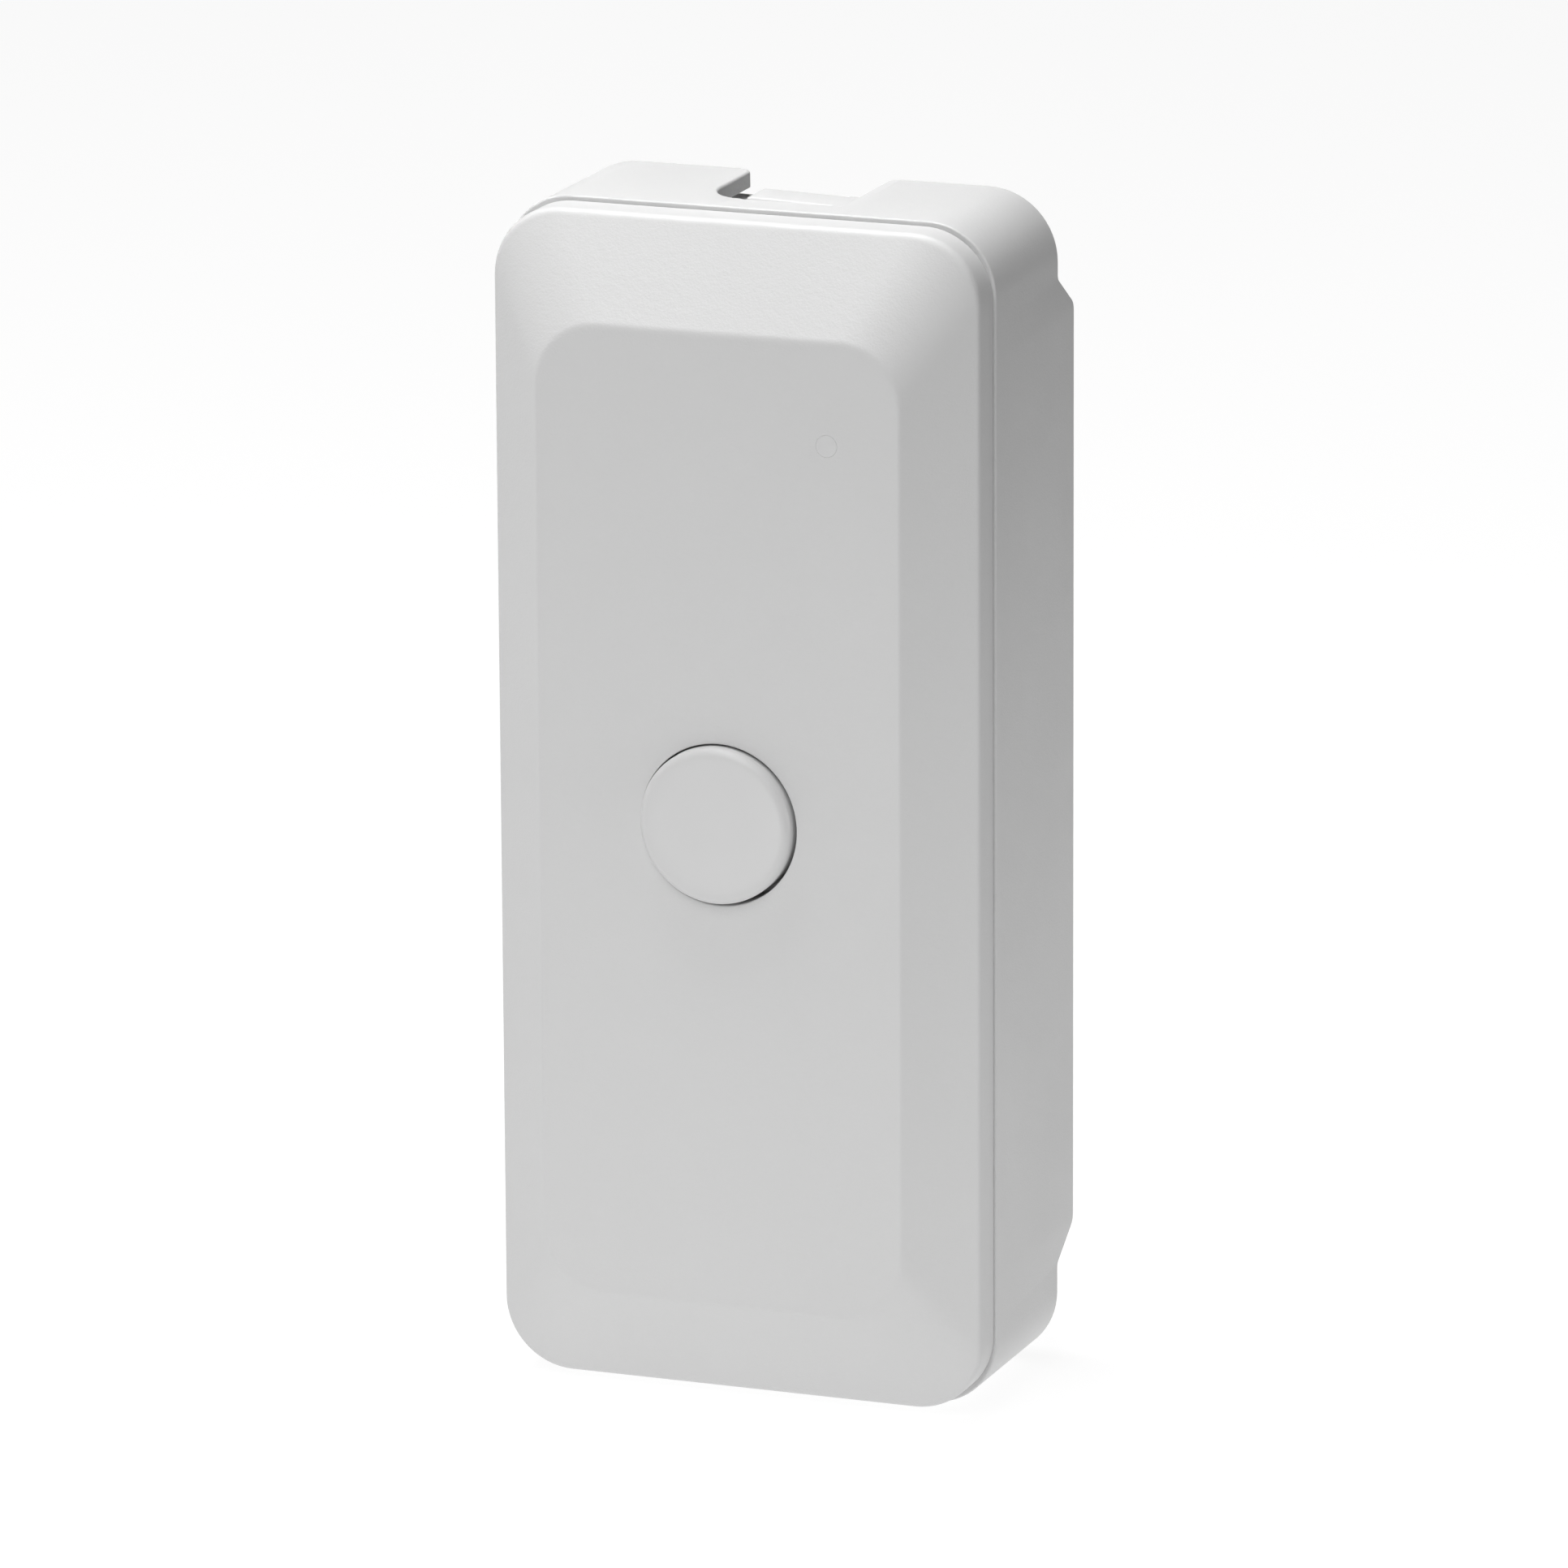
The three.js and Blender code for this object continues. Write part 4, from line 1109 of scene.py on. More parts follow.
@dataclass
class RearHousing:
    """The deep rear shell with its stepped back, notch, bosses and screw holes.

    Attributes:
        palette: The shared finishes.
        corner: Corner radius of the outside.
        side_wall: Thickness of the long walls.
        end_wall: Thickness of the top and bottom walls.
        back_wall: Thickness of the rear wall.
        pad_top: Height at which the rear pad ends upwards.
        pad_bottom: Height at which the rear pad ends downwards.
        step_run: Height over which the rear steps forward.
        step_depth: How far the ends are stepped forward.
        notch_left: Left side of the release notch.
        notch_right: Right side of the notch.
        notch_front: Depth of the notch's front.
        hollow_corner: Radius of the notch's front left corner.
        lip: Radius of the notch's rear lips.
        tab_root: Where the release tab is rooted.
        pocket: Left and right sides of the pocket under the notch.
        pocket_front: Depth of the pocket's front.
        pocket_floor: Height of the pocket's floor.
        sill: Height of the sill behind the notch.
    """

    palette: Palette
    corner: float = 4.75 * MM
    side_wall: float = 1.2 * MM
    end_wall: float = 1.1 * MM
    back_wall: float = 1.2 * MM
    pad_top: float = 31.9 * MM
    pad_bottom: float = -31.1 * MM
    step_run: float = 2.2 * MM
    step_depth: float = 3.14 * MM
    notch_left: float = -4.2 * MM
    notch_right: float = 5.6 * MM
    notch_front: float = -12.54 * MM
    hollow_corner: float = 3.5 * MM
    lip: float = 0.8 * MM
    tab_root: float = 5.5 * MM
    pocket: tuple[float, float] = (-6.5 * MM, 7.6 * MM)
    pocket_front: float = -8.64 * MM
    pocket_floor: float = 36.2 * MM
    sill: float = 38.3 * MM

    def rear_outline(self, inset: float) -> Array:
        """The side outline (y, z) of all that lies in front of the rear surface.

        The rear pad and the stepped ends are joined by straight slopes whose corners are rounded.

        Args:
            inset: How far the outline is kept inside the outer surface.

        Returns:
            Outline points in order.
        """
        front, top = -24 * MM, 42 * MM
        pad, end = -inset, -self.step_depth - inset
        upper = self.pad_top - 0.4 * inset
        lower = self.pad_bottom + 0.4 * inset
        corners = np.array(
            [
                (front, -top),
                (end, -top),
                (end, lower - self.step_run),
                (pad, lower),
                (pad, upper),
                (end, upper + self.step_run),
                (end, top),
                (front, top),
            ]
        )
        trims = np.array([0, 0, 0.3, 0.5, 0.5, 0.3, 0, 0]) * MM
        return soften(corners, trims, steps=6, guard=0.08 * MM)

    def limit(self, inset: float) -> Skin:
        """The space in front of the rear surface, wider than the housing."""
        return carried(self.rear_outline(inset), (-20 * MM, 20 * MM), Axis.ACROSS)

    def shell(self, half_x: float, half_z: float, corner: float, front: float, edge: float) -> Skin:
        """A straight rounded box, open-edged at the front by a small rounding.

        Args:
            half_x: Half width.
            half_z: Half height.
            corner: Corner radius.
            front: Depth of the front edge.
            edge: Size of the front rounding; negative widens the edge instead.

        Returns:
            The closed skin, which runs past the rear surface.
        """
        t = np.linspace(0, QUARTER, 6)
        size = abs(edge)
        inset = np.sign(edge) * size * (1 - np.sin(t))
        depth = front + size * (1 - np.cos(t))
        inset = np.append(inset, [0.0, 0.0])
        depth = np.append(depth, [front + size + 0.3 * MM, 1 * MM])
        zero = np.zeros_like(inset)
        stations = np.stack([half_x - inset, half_z - inset, corner - inset, depth, zero, zero], axis=-1)
        return weave(loft(stations))

    def notch_outline(self) -> Array:
        """The notch from above (x, y): a hollow front corner, and rounded lips at the rear.

        Returns:
            Outline points in order.
        """
        back = -self.step_depth
        beyond = back + 2 * MM
        hollow_centre = (self.notch_left + self.hollow_corner, self.notch_front + self.hollow_corner)
        return np.concatenate(
            [
                arc(hollow_centre, self.hollow_corner, 180, 270, 20),
                [(self.notch_right, self.notch_front)],
                arc((self.notch_right + self.lip, back - self.lip), self.lip, 180, 90, 12),
                [(self.notch_right + self.lip, beyond), (self.notch_left - self.lip, beyond)],
                arc((self.notch_left - self.lip, back - self.lip), self.lip, 90, 0, 12),
            ]
        )

    def notch(self, edge: float = 0.22 * MM) -> Skin:
        """The space of the notch, flared at the top so that its rim comes out rounded.

        Args:
            edge: Size of the rim's rounding.

        Returns:
            The closed skin to cut away.
        """
        top = node_box("rear_housing")[1][2]
        t = np.linspace(0, QUARTER, 6)
        flares = np.concatenate([[0.0], edge * (1 - np.cos(t)), [edge]])
        levels = np.concatenate([[38.8 * MM], top - edge * (1 - np.sin(t)), [top + 1 * MM]])
        outline = self.notch_outline()
        weights = np.clip((self.notch_left + 2.4 * MM - outline[:, 0]) / MM, 0.0, 1.0)
        return carried(outline, levels, Axis.UPRIGHT, flares, weights)

    def fittings(self) -> list[Skin]:
        """The raised features inside: pocket lining, board bosses, posts and screw rings.

        Returns:
            The closed skins to add.
        """
        board_low, board_high = node_box("circuit_board")
        floor = -self.back_wall
        seat = board_high[1] + 0.05 * MM
        wall = 0.7 * MM
        left, right = self.pocket
        lining = soft_block(
            (left - wall, self.pocket_front - wall + 0.1 * MM, self.pocket_floor - wall),
            (right + wall, -self.step_depth - 0.6 * MM, 39.4 * MM),
            0.1 * MM,
        )
        foot = floor + 0.1 * MM
        boss = [(CORE, seat), (2.4 * MM, seat), (2.4 * MM, foot), (CORE, foot)]
        bosses = [self.pillar(boss, (0, 0.15, 0, 0), (x, 0, z)) for x, z in CircuitBoard.screws]
        foot, tip = floor + 0.4 * MM, board_low[1] - 0.5 * MM
        post = [
            (CORE, tip),
            (0.85 * MM, tip),
            (0.9 * MM, seat),
            (2.0 * MM, seat),
            (2.1 * MM, foot),
            (CORE, foot),
        ]
        posts = [self.pillar(post, (0, 0.2, 0.05, 0.15, 0, 0), (x, 0, z)) for x, z in CircuitBoard.pins]
        inner = floor - 1 * MM
        ring = [(CORE, inner), (3.15 * MM, inner), (3.15 * MM, foot), (CORE, foot)]
        rings = [self.pillar(ring, (0, 0.3, 0, 0), at, sides=64) for at in self.screw_places()]
        return [lining, *bosses, *posts, *rings]

    @staticmethod
    def pillar(
        rows: list[tuple[float, float]], trims: Sequence[float], at: Sequence[float], sides: int = 48
    ) -> Skin:
        """A turned fitting from its profile and from its roundings in millimetres."""
        return turned(soften(np.array(rows), np.array(trims) * MM), at, sides=sides)

    @staticmethod
    def screw_places() -> list[tuple[float, float, float]]:
        """The centres of the wall-screw holes."""
        return [(0, 0, 27.6 * MM), (12.45 * MM, 0, -20 * MM), (-12.45 * MM, 0, -20 * MM)]

    def voids(self) -> list[Skin]:
        """The spaces cut last: pocket, sill, tab clearance, pilot holes and screw holes.

        Returns:
            The closed skins to cut away.
        """
        left, right = self.pocket
        ceiling = node_box("rear_housing")[1][2] - self.end_wall
        inner_back = -self.step_depth - self.back_wall
        pocket = soft_block(
            (left, self.pocket_front, self.pocket_floor), (right, inner_back, ceiling), 0.12 * MM
        )
        sill = soft_block((left, inner_back - 0.3 * MM, self.sill), (right, 1 * MM, ceiling), 0.05 * MM)
        behind_tab = soft_block(
            (-10 * MM, -11 * MM, 38.2 * MM),
            (self.tab_root + 0.3 * MM, self.pocket_front + 0.1 * MM, ceiling),
            0.05 * MM,
        )
        seat = node_box("circuit_board")[1][1]
        pilots = [
            rod(1.15 * MM, seat - 1 * MM, seat + 5.4 * MM, (x, 0, z), sides=32)
            for x, z in CircuitBoard.screws
        ]
        holes = []
        for at in self.screw_places():
            path = [(1.9 * MM, -4 * MM), (1.9 * MM, -0.25 * MM), (2.15 * MM, 0.0), (2.15 * MM, 1 * MM)]
            holes.append(turned(np.array(path), at, sides=64))
        return [pocket, sill, behind_tab, self.notch(), *pilots, *holes]

    def build(self) -> bpy.types.Object:
        """Makes the housing: outside, hollow, fittings, then the cuts.

        Returns:
            The piece's object.
        """
        low, high = node_box("rear_housing")
        half_x, half_z, front = high[0], high[2], low[1]
        outside = self.shell(half_x, half_z, self.corner, front, 0.15 * MM)
        piece = Piece("housing_shell", outside, "housing", "shell_plastic", ("rear_housing",))
        piece.combine(Join.KEEP, self.limit(0.0)).round_edges(0.3 * MM)
        hollow = Piece(
            "hollow",
            self.shell(
                half_x - self.side_wall,
                half_z - self.end_wall,
                self.corner - self.side_wall,
                front - 0.3 * MM,
                -0.12 * MM,
            ),
            "housing",
            "shell_plastic",
            (),
        )
        hollow.combine(Join.KEEP, self.limit(self.back_wall))
        inside = skin_of(hollow.thing)
        bpy.data.objects.remove(hollow.thing)
        piece.combine(Join.CUT, inside)
        piece.combine(Join.ADD, *self.fittings())
        piece.combine(Join.CUT, *self.voids())
        return piece.finish(self.palette.shell)


def skin_of(thing: bpy.types.Object) -> Skin:
    """Reads a mesh object back as a skin.

    Args:
        thing: The mesh object.

    Returns:
        Its points and faces.
    """
    mesh = thing.data
    points = np.empty(len(mesh.vertices) * 3)
    mesh.vertices.foreach_get("co", points)
    return Skin(points.reshape(-1, 3), [tuple(p.vertices) for p in mesh.polygons])


def merge(piece: Piece, *skins: Skin) -> Piece:
    """Puts separate closed skins beside the piece's own, without joining them.

    Args:
        piece: The piece.
        skins: The skins put beside its own.

    Returns:
        The piece itself.
    """
    own = skin_of(piece.thing)
    points, faces, shift = [own.points], list(own.faces), len(own.points)
    for skin in skins:
        points.append(skin.points)
        faces += [tuple(corner + shift for corner in face) for face in skin.faces]
        shift += len(skin.points)
    mesh = bpy.data.meshes.new(piece.name)
    mesh.from_pydata(np.concatenate(points).tolist(), [], faces)
    old = piece.thing.data
    piece.thing.data = mesh
    bpy.data.meshes.remove(old)
    return piece


@dataclass
class ReleaseTab:
    """The springy tongue in the notch, raised a little at its free end.

    Attributes:
        palette: The shared finishes.
        thickness: The tongue's thickness.
        edge: Radius of its edges.
        barb: How far the barb hangs below the tongue.
        seam: How far the tongue runs into its root.
    """

    palette: Palette
    thickness: float = 1.1 * MM
    edge: float = 0.24 * MM
    barb: float = 0.5 * MM
    seam: float = 0.096 * MM

    def build(self) -> bpy.types.Object:
        """Makes the blade, whose top rises towards its free end, and its barb.

        Returns:
            The piece's object.
        """
        low, high = node_box("release_tab")
        ceiling = low[2] + self.barb
        raised = high[2] - CASE_TOP
        blade = soft_block((low[0], low[1], ceiling), (high[0], high[1], CASE_TOP), self.edge, steps=7)
        share = np.clip((high[0] - blade.points[:, 0]) / (high[0] - low[0]), 0, 1)
        upper = np.clip((blade.points[:, 2] - ceiling) / self.thickness, 0, 1)
        blade.points[:, 2] += raised * share * upper
        root = high[0] + self.seam
        square = soft_block((high[0] - 0.6 * MM, low[1], ceiling), (root, high[1], CASE_TOP), 0.01 * MM)
        ramp = np.array(
            [
                (low[1] + 0.4 * MM, ceiling + 0.1 * MM),
                (low[1] + 1.6 * MM, low[2]),
                (low[1] + 2.2 * MM, low[2]),
                (low[1] + 2.2 * MM, ceiling + 0.1 * MM),
            ]
        )
        barb = carried(ramp, (-0.6 * MM, 3.2 * MM), Axis.ACROSS)
        piece = Piece("tab_blade", blade, "tab", "shell_plastic", ("release_tab",))
        piece.combine(Join.ADD, square, barb)
        return piece.finish(self.palette.shell)


# ---- Circuit board ------------------------------------------------------------------


def strip(path: Array, thickness: float, width: tuple[float, float], axis: Axis) -> Skin:
    """A bent sheet-metal strip.

    The path is moved half a thickness to either side along its normal (the tangent turned a
    quarter), and the closed outline is carried across the strip's width.

    Args:
        path: The middle line in the two cross values, shaped (points, 2).
        thickness: The sheet's thickness.
        width: Where the strip starts and ends across.
        axis: The direction across the strip.

    Returns:
        The closed skin.
    """
    tangent = np.gradient(path, axis=0)
    tangent /= np.linalg.norm(tangent, axis=1, keepdims=True)
    normal = np.stack([-tangent[:, 1], tangent[:, 0]], axis=-1) * thickness / 2
    outline = np.concatenate([path + normal, (path - normal)[::-1]])
    edge = 0.12 * thickness
    low, high = width
    levels = (low, low + edge, high - edge, high)
    return carried(outline, levels, axis, (-edge, 0.0, 0.0, -edge))


def helix(
    turns: float,
    radii: tuple[float, float],
    rise: tuple[float, float],
    centre: tuple[float, float],
    steps: int,
) -> Array:
    """Points of an upright coil.

    With t from 0 to 1 the angle is 2 pi turns t, the radius blends from the first to the
    second, and the height goes evenly from the start to the end of the rise.

    Args:
        turns: The number of turns.
        radii: The radius at the start and at the end.
        rise: The height at the start and at the end.
        centre: The coil's middle, as x and y.
        steps: The number of points.

    Returns:
        The points, shaped (steps, 3).
    """
    t = np.linspace(0, 1, steps)
    angle = 2 * np.pi * turns * t
    radius = radii[0] + (radii[1] - radii[0]) * t
    x = centre[0] + radius * np.sin(angle)
    y = centre[1] + radius * np.cos(angle)
    return np.stack([x, y, rise[0] + (rise[1] - rise[0]) * t], axis=-1)


@dataclass
class CircuitBoard:
    """The board with its solder, screws and the parts that stand on it.

    Attributes:
        palette: The shared finishes.
        corner: Corner radius of the board.
        slot_half: Half width of the slot at its top.
        slot_bottom: Height of the slot's lower end.
        lift: How far components sit off the board.
        screws: Places of the screws, as x and z.
        pins: Places of the locating pins, as x and z.
        leg: Distance of the switch's legs from its middle, as x and z.
        front: Depth of the board's front face.
        back: Depth of its back face.
    """

    palette: Palette
    corner: float = 1.0 * MM
    slot_half: float = 4.6 * MM
    slot_bottom: float = 23.2 * MM
    lift: float = 0.05 * MM
    screws: tuple[tuple[float, float], ...] = ((-10.8 * MM, 30.2 * MM), (10.8 * MM, -1.6 * MM))
    pins: tuple[tuple[float, float], ...] = ((10.8 * MM, 30.2 * MM), (-10.8 * MM, -1.6 * MM))
    leg: tuple[float, float] = (3.5 * MM, 2.25 * MM)
    front: float = field(init=False)
    back: float = field(init=False)

    def __post_init__(self) -> None:
        """Reads the board's two faces from the frame."""
        low, high = node_box("circuit_board")
        self.front, self.back = low[1], high[1]

    def legs(self) -> list[tuple[float, float]]:
        """The four places where the switch's legs pass the board."""
        x, z = self.leg
        return [(-x, -z), (-x, z), (x, -z), (x, z)]

    def outline(self) -> Array:
        """The board's edge with rounded corners and the slot at its top, as x and z.

        Returns:
            Outline points in order.
        """
        low, high = node_box("circuit_board")
        half, bottom, top, r = high[0], low[2], high[2], self.corner
        slot, floor, bend = self.slot_half, self.slot_bottom, 0.8 * MM
        return np.concatenate(
            [
                arc((-half + r, bottom + r), r, 180, 270, 7),
                arc((half - r, bottom + r), r, 270, 360, 7),
                arc((half - r, top - r), r, 0, 90, 7),
                arc((slot + 0.4 * MM, top - 0.4 * MM), 0.4 * MM, 90, 180, 5),
                arc((slot - bend, floor + bend), bend, 0, -90, 6),
                arc((-slot + bend, floor + bend), bend, 270, 180, 6),
                arc((-slot - 0.4 * MM, top - 0.4 * MM), 0.4 * MM, 0, 90, 5),
                arc((-half + r, top - r), r, 90, 180, 7),
            ]
        )

    def ring(self, at: tuple[float, float], inner: float, outer: float, face: float, side: int) -> Skin:
        """A flat copper ring round a hole, on one face of the board.

        Args:
            at: Its middle, as x and z.
            inner: Inner radius.
            outer: Outer radius.
            face: Depth of the board's face.
            side: Minus one for the front, one for the back.

        Returns:
            The closed skin.
        """
        lift = 0.035 * MM
        corners = np.array(
            [(inner, face), (outer, face), (outer - lift, face + side * lift), (inner, face + side * lift)]
        )
        return turned(corners, (at[0], 0, at[1]), sides=40, wrap=True)

    def solder(self, at: tuple[float, float], pin: float, foot: float, face: float, side: int) -> Skin:
        """A solder cone: its radius falls off from the foot to the pin as a hollow curve.

        Args:
            at: Its middle, as x and z.
            pin: Radius at the pin.
            foot: Radius at the foot.
            face: Depth of the board's face.
            side: Minus one for the front, one for the back.

        Returns:
            The closed skin.
        """
        t = np.linspace(0, 1, 8)
        radius = pin + (foot - pin) * (1 - t) ** 2.2
        place = face + side * (0.02 * MM + 0.55 * MM * t)
        profile = np.stack([radius, place], axis=-1)
        profile = np.concatenate([[(foot, face)], profile, [(0.02 * MM, place[-1] + side * 0.05 * MM)]])
        return turned(profile, (at[0], 0, at[1]), sides=24)

    def plate(self) -> None:
        """The board, its plated rings and its solder joints."""
        edge = 0.08 * MM
        levels = (self.front, self.front + edge, self.back - edge, self.back)
        board = carried(self.outline(), levels, Axis.DEPTH, (-edge, 0, 0, -edge))
        piece = Piece("board_plate", board, "housing", "board_mask", ("circuit_board",))
        through = (self.front - 1 * MM, self.back + 1 * MM)
        holes = [
            (at, 1.3 * MM) for at in self.screws
        ] + [(at, 1.0 * MM) for at in self.pins] + [(at, 0.6 * MM) for at in self.legs()]
        cuts = [rod(r, *through, (at[0], 0, at[1]), sides=32) for at, r in holes]
        piece.combine(Join.CUT, *cuts).finish(self.palette.board)
        rings = [self.ring(at, 1.32 * MM, 2.5 * MM, self.front, -1) for at in self.screws]
        rings += [self.ring(at, 1.02 * MM, 1.6 * MM, self.front, -1) for at in self.pins]
        joints = [self.solder(at, 0.2 * MM, 0.95 * MM, self.back, 1) for at in self.legs()]
        joints += [self.ring(at, 0.62 * MM, 0.95 * MM, self.front, -1) for at in self.legs()]
        merge(
            Piece("plated_rings", rings[0], "housing", "tin_plate", ()), *rings[1:]
        ).finish(self.palette.tin)
        merge(
            Piece("solder_joints", joints[0], "housing", "tin_plate", ()), *joints[1:]
        ).finish(self.palette.tin)

    def vias(self) -> None:
        """Small tinned through-holes scattered between the parts."""
        places = np.array(
            [
                (-6.1, 13.2),
                (0.6, 14.6),
                (0.3, 6.4),
                (7.5, 5.2),
                (-0.6, -2.9),
                (6.3, 18.9),
                (-6.5, 5.6),
                (2.4, 19.6),
                (-1.3, 12.9),
                (6.6, 2.2),
                (-4.8, -4.1),
                (3.1, -4.0),
                (11.9, 5.6),
            ]
        ) * MM
        skins = [self.ring(tuple(at), 0.17 * MM, 0.36 * MM, self.front, -1) for at in places]
        skins += [self.ring(tuple(at), 0.17 * MM, 0.36 * MM, self.back, 1) for at in places]
        merge(Piece("via_rings", skins[0], "housing", "tin_plate", ()), *skins[1:]).finish(self.palette.tin)

    def tracks(self) -> None:
        """Copper tracks under the lacquer: routes with diagonal bends, each a thin raised ribbon."""
        routes = [
            [(7, 15.8), (7.9, 15.8), (9.2, 17.1), (9.2, 19.6), (7.6, 21.2)],
            [(7, 14.5), (7.6, 14.5), (8.2, 15.1)],
            [(7, 13.3), (7.9, 13.3)],
            [(7, 8.2), (7.7, 8.2), (9.4, 6.5), (9.4, 3.4)],
            [(7, 9.5), (7.7, 9.5), (11.9, 5.6)],
            [(1, 15.8), (0.2, 16.6), (-1.3, 16.6)],
            [(1, 14.5), (0.6, 14.6), (-0.6, 15.8), (-1.3, 15.8)],
            [(1, 13.3), (0.2, 12.5), (-1.3, 12.9)],
            [(1, 12), (0.4, 11.4), (-0.4, 11.4)],
            [(1, 8.2), (0.3, 7.5), (0.3, 6.4), (-1.2, 4.9), (-3.5, 2.9)],
            [(1, 9.5), (-0.2, 8.3), (-0.5, 8.3)],
            [(-5.5, 17.6), (-6.4, 18.5), (-6.4, 21.6)],
            [(-5.5, 16.4), (-7.2, 16.4), (-8.4, 15.2), (-8.4, 8.2), (-10.3, 6.4)],
            [(-1.3, 18), (-0.4, 18.9), (-0.4, 21.6)],
            [(-3.4, 19.2), (-3.4, 20.6), (-5.4, 21.6)],
            [(2.4, 19.6), (2.4, 17.6), (3.2, 16.8)],
            [(6.3, 18.9), (5.6, 19.6), (5.6, 24.4), (7.65, 26)],
            [(11.4, 21.2), (12.2, 22), (12.2, 26.6), (11, 27.8)],
            [(-6.1, 13.2), (-7, 14.1), (-7, 20.4), (-9.4, 22.8), (-10.3, 25.6)],
            [(-3.5, -2.25), (-4.8, -3.5), (-7.8, -4.2)],
            [(-8.4, 2.6), (-9.6, 1.4), (-10.8, 1.2), (-10.8, 0)],
            [(3.5, 2.25), (6.6, 2.2), (8.4, 3.4)],
            [(3.5, -2.25), (4.9, -3.6), (7.4, -4.3), (8.4, -4.3)],
            [(-6.5, 5.6), (-7.6, 4.5), (-7.6, 2.6)],
        ]
        wide = {3, 12, 18, 19, 22}
        skins = [
            self.ribbon(np.array(route) * MM, (0.45 if k in wide else 0.25) * MM)
            for k, route in enumerate(routes)
        ]
        merge(
            Piece("board_tracks", skins[0], "housing", "board_mask", ()), *skins[1:]
        ).finish(self.palette.track)

    def ribbon(self, path: Array, width: float) -> Skin:
        """A thin flat ribbon on the board: the path moved half a width to either side.

        Args:
            path: The middle line, as x and z.
            width: The ribbon's width.

        Returns:
            The closed skin.
        """
        path = soften(path, np.full(len(path), 0.15 * MM), steps=3, guard=0.02 * MM)
        tangent = np.gradient(path, axis=0)
        tangent /= np.linalg.norm(tangent, axis=1, keepdims=True)
        across = np.stack([-tangent[:, 1], tangent[:, 0]], axis=-1) * width / 2
        outline = np.concatenate([path + across, (path - across)[::-1]])
        return carried(outline, (self.front - 0.022 * MM, self.front + 0.01 * MM), Axis.DEPTH)

    def markings(self) -> None:
        """White printed frames round the larger parts."""
        frames = []
        for name, gap in (
            ("microcontroller", 0.35 * MM),
            ("bulk_capacitor", 0.4 * MM),
            ("crystal_can", 0.4 * MM),
            ("radio_chip", 0.45 * MM),
        ):
            low, high = node_box(name)
            frames.append(self.frame_line(low - gap, high + gap))
        merge(
            Piece("printed_frames", frames[0], "housing", "shell_plastic", ()), *frames[1:]
        ).finish(self.palette.ink)

    def frame_line(self, low: Array, high: Array) -> Skin:
        """A thin raised line round a rectangle on the board's front.

        Args:
            low: The lowest corner.
            high: The highest corner.

        Returns:
            The closed skin.
        """
        line, lift = 0.15 * MM, 0.02 * MM
        centre, half = (low + high) / 2, (high - low) / 2
        zero = np.zeros(4)
        out = np.array([0, line, line, 0])
        depth = self.front - np.array([0, 0, lift, lift]) + 0.004 * MM
        stations = np.stack([half[0] + out, half[2] + out, 0.4 * MM + out, depth, zero, zero], axis=-1)
        grid = loft(stations, (5, 1, 1)) + np.array([centre[0], 0, centre[2]])
        return weave(grid, wrap=True)

    def screw(self, name: str) -> None:
        """A pan-head screw with a cross recess and a threaded shank.

        Args:
            name: The node it stands for.
        """
        low, high = node_box(name)
        centre = (low + high) / 2
        head = (high[0] - low[0]) / 2
        seat = self.front - self.lift
        crown = low[1]
        corners = [
            (0.02 * MM, crown),
            (head * 0.72, crown + 0.08 * MM),
            (head, crown + 0.75 * MM),
            (head, seat),
            (1 * MM, seat),
        ]
        trims = [0, 0.35, 0.35, 0.1, 0.05]
        pitch = np.arange(8) * 0.62 * MM + seat + 0.3 * MM
        thread = np.stack(
            [np.tile([0.82 * MM, 1.08 * MM], 8), np.repeat(pitch, 2) + np.tile([0, 0.31 * MM], 8)], axis=-1
        )
        path = soften(np.array(corners), np.array(trims) * MM, steps=5)
        tail = np.array([(0.8 * MM, high[1] - 0.75 * MM), (0.25 * MM, high[1]), (0.02 * MM, high[1])])
        profile = np.concatenate([path, thread, tail])
        piece = Piece(f"{name}_body", turned(profile, centre, sides=48), "housing", "steel", (name,))
        depth = (crown - 1 * MM, crown + 0.9 * MM)
        for half_x, half_z in ((0.25 * MM, 1.1 * MM), (1.1 * MM, 0.25 * MM)):
            square = np.array(
                [(-1, -1), (1, -1), (1, 1), (-1, 1)]
            ) * np.array([half_x, half_z]) + centre[[0, 2]]
            piece.combine(Join.CUT, carried(square, depth, Axis.DEPTH))
        piece.finish(self.palette.steel)

    def package(
        self, name: str, edge: float, material: bpy.types.Material, slot: str, dot: bool = False
    ) -> None:
        """A moulded flat package with a pin-one dimple if wanted.

        Args:
            name: The node it stands for.
            edge: Radius of its edges.
            material: Its finish.
            slot: The record's material slot.
            dot: Whether it has the dimple.
        """
        low, high = node_box(name)
        piece = Piece(f"{name}_body", soft_block(low, high, edge), "housing", slot, (name,))
        if dot:
            at = (low[0] + 0.6 * MM, 0, high[2] - 0.6 * MM)
            piece.combine(Join.CUT, rod(0.22 * MM, low[1] - 1 * MM, low[1] + 0.06 * MM, at, sides=20))
        piece.finish(material)

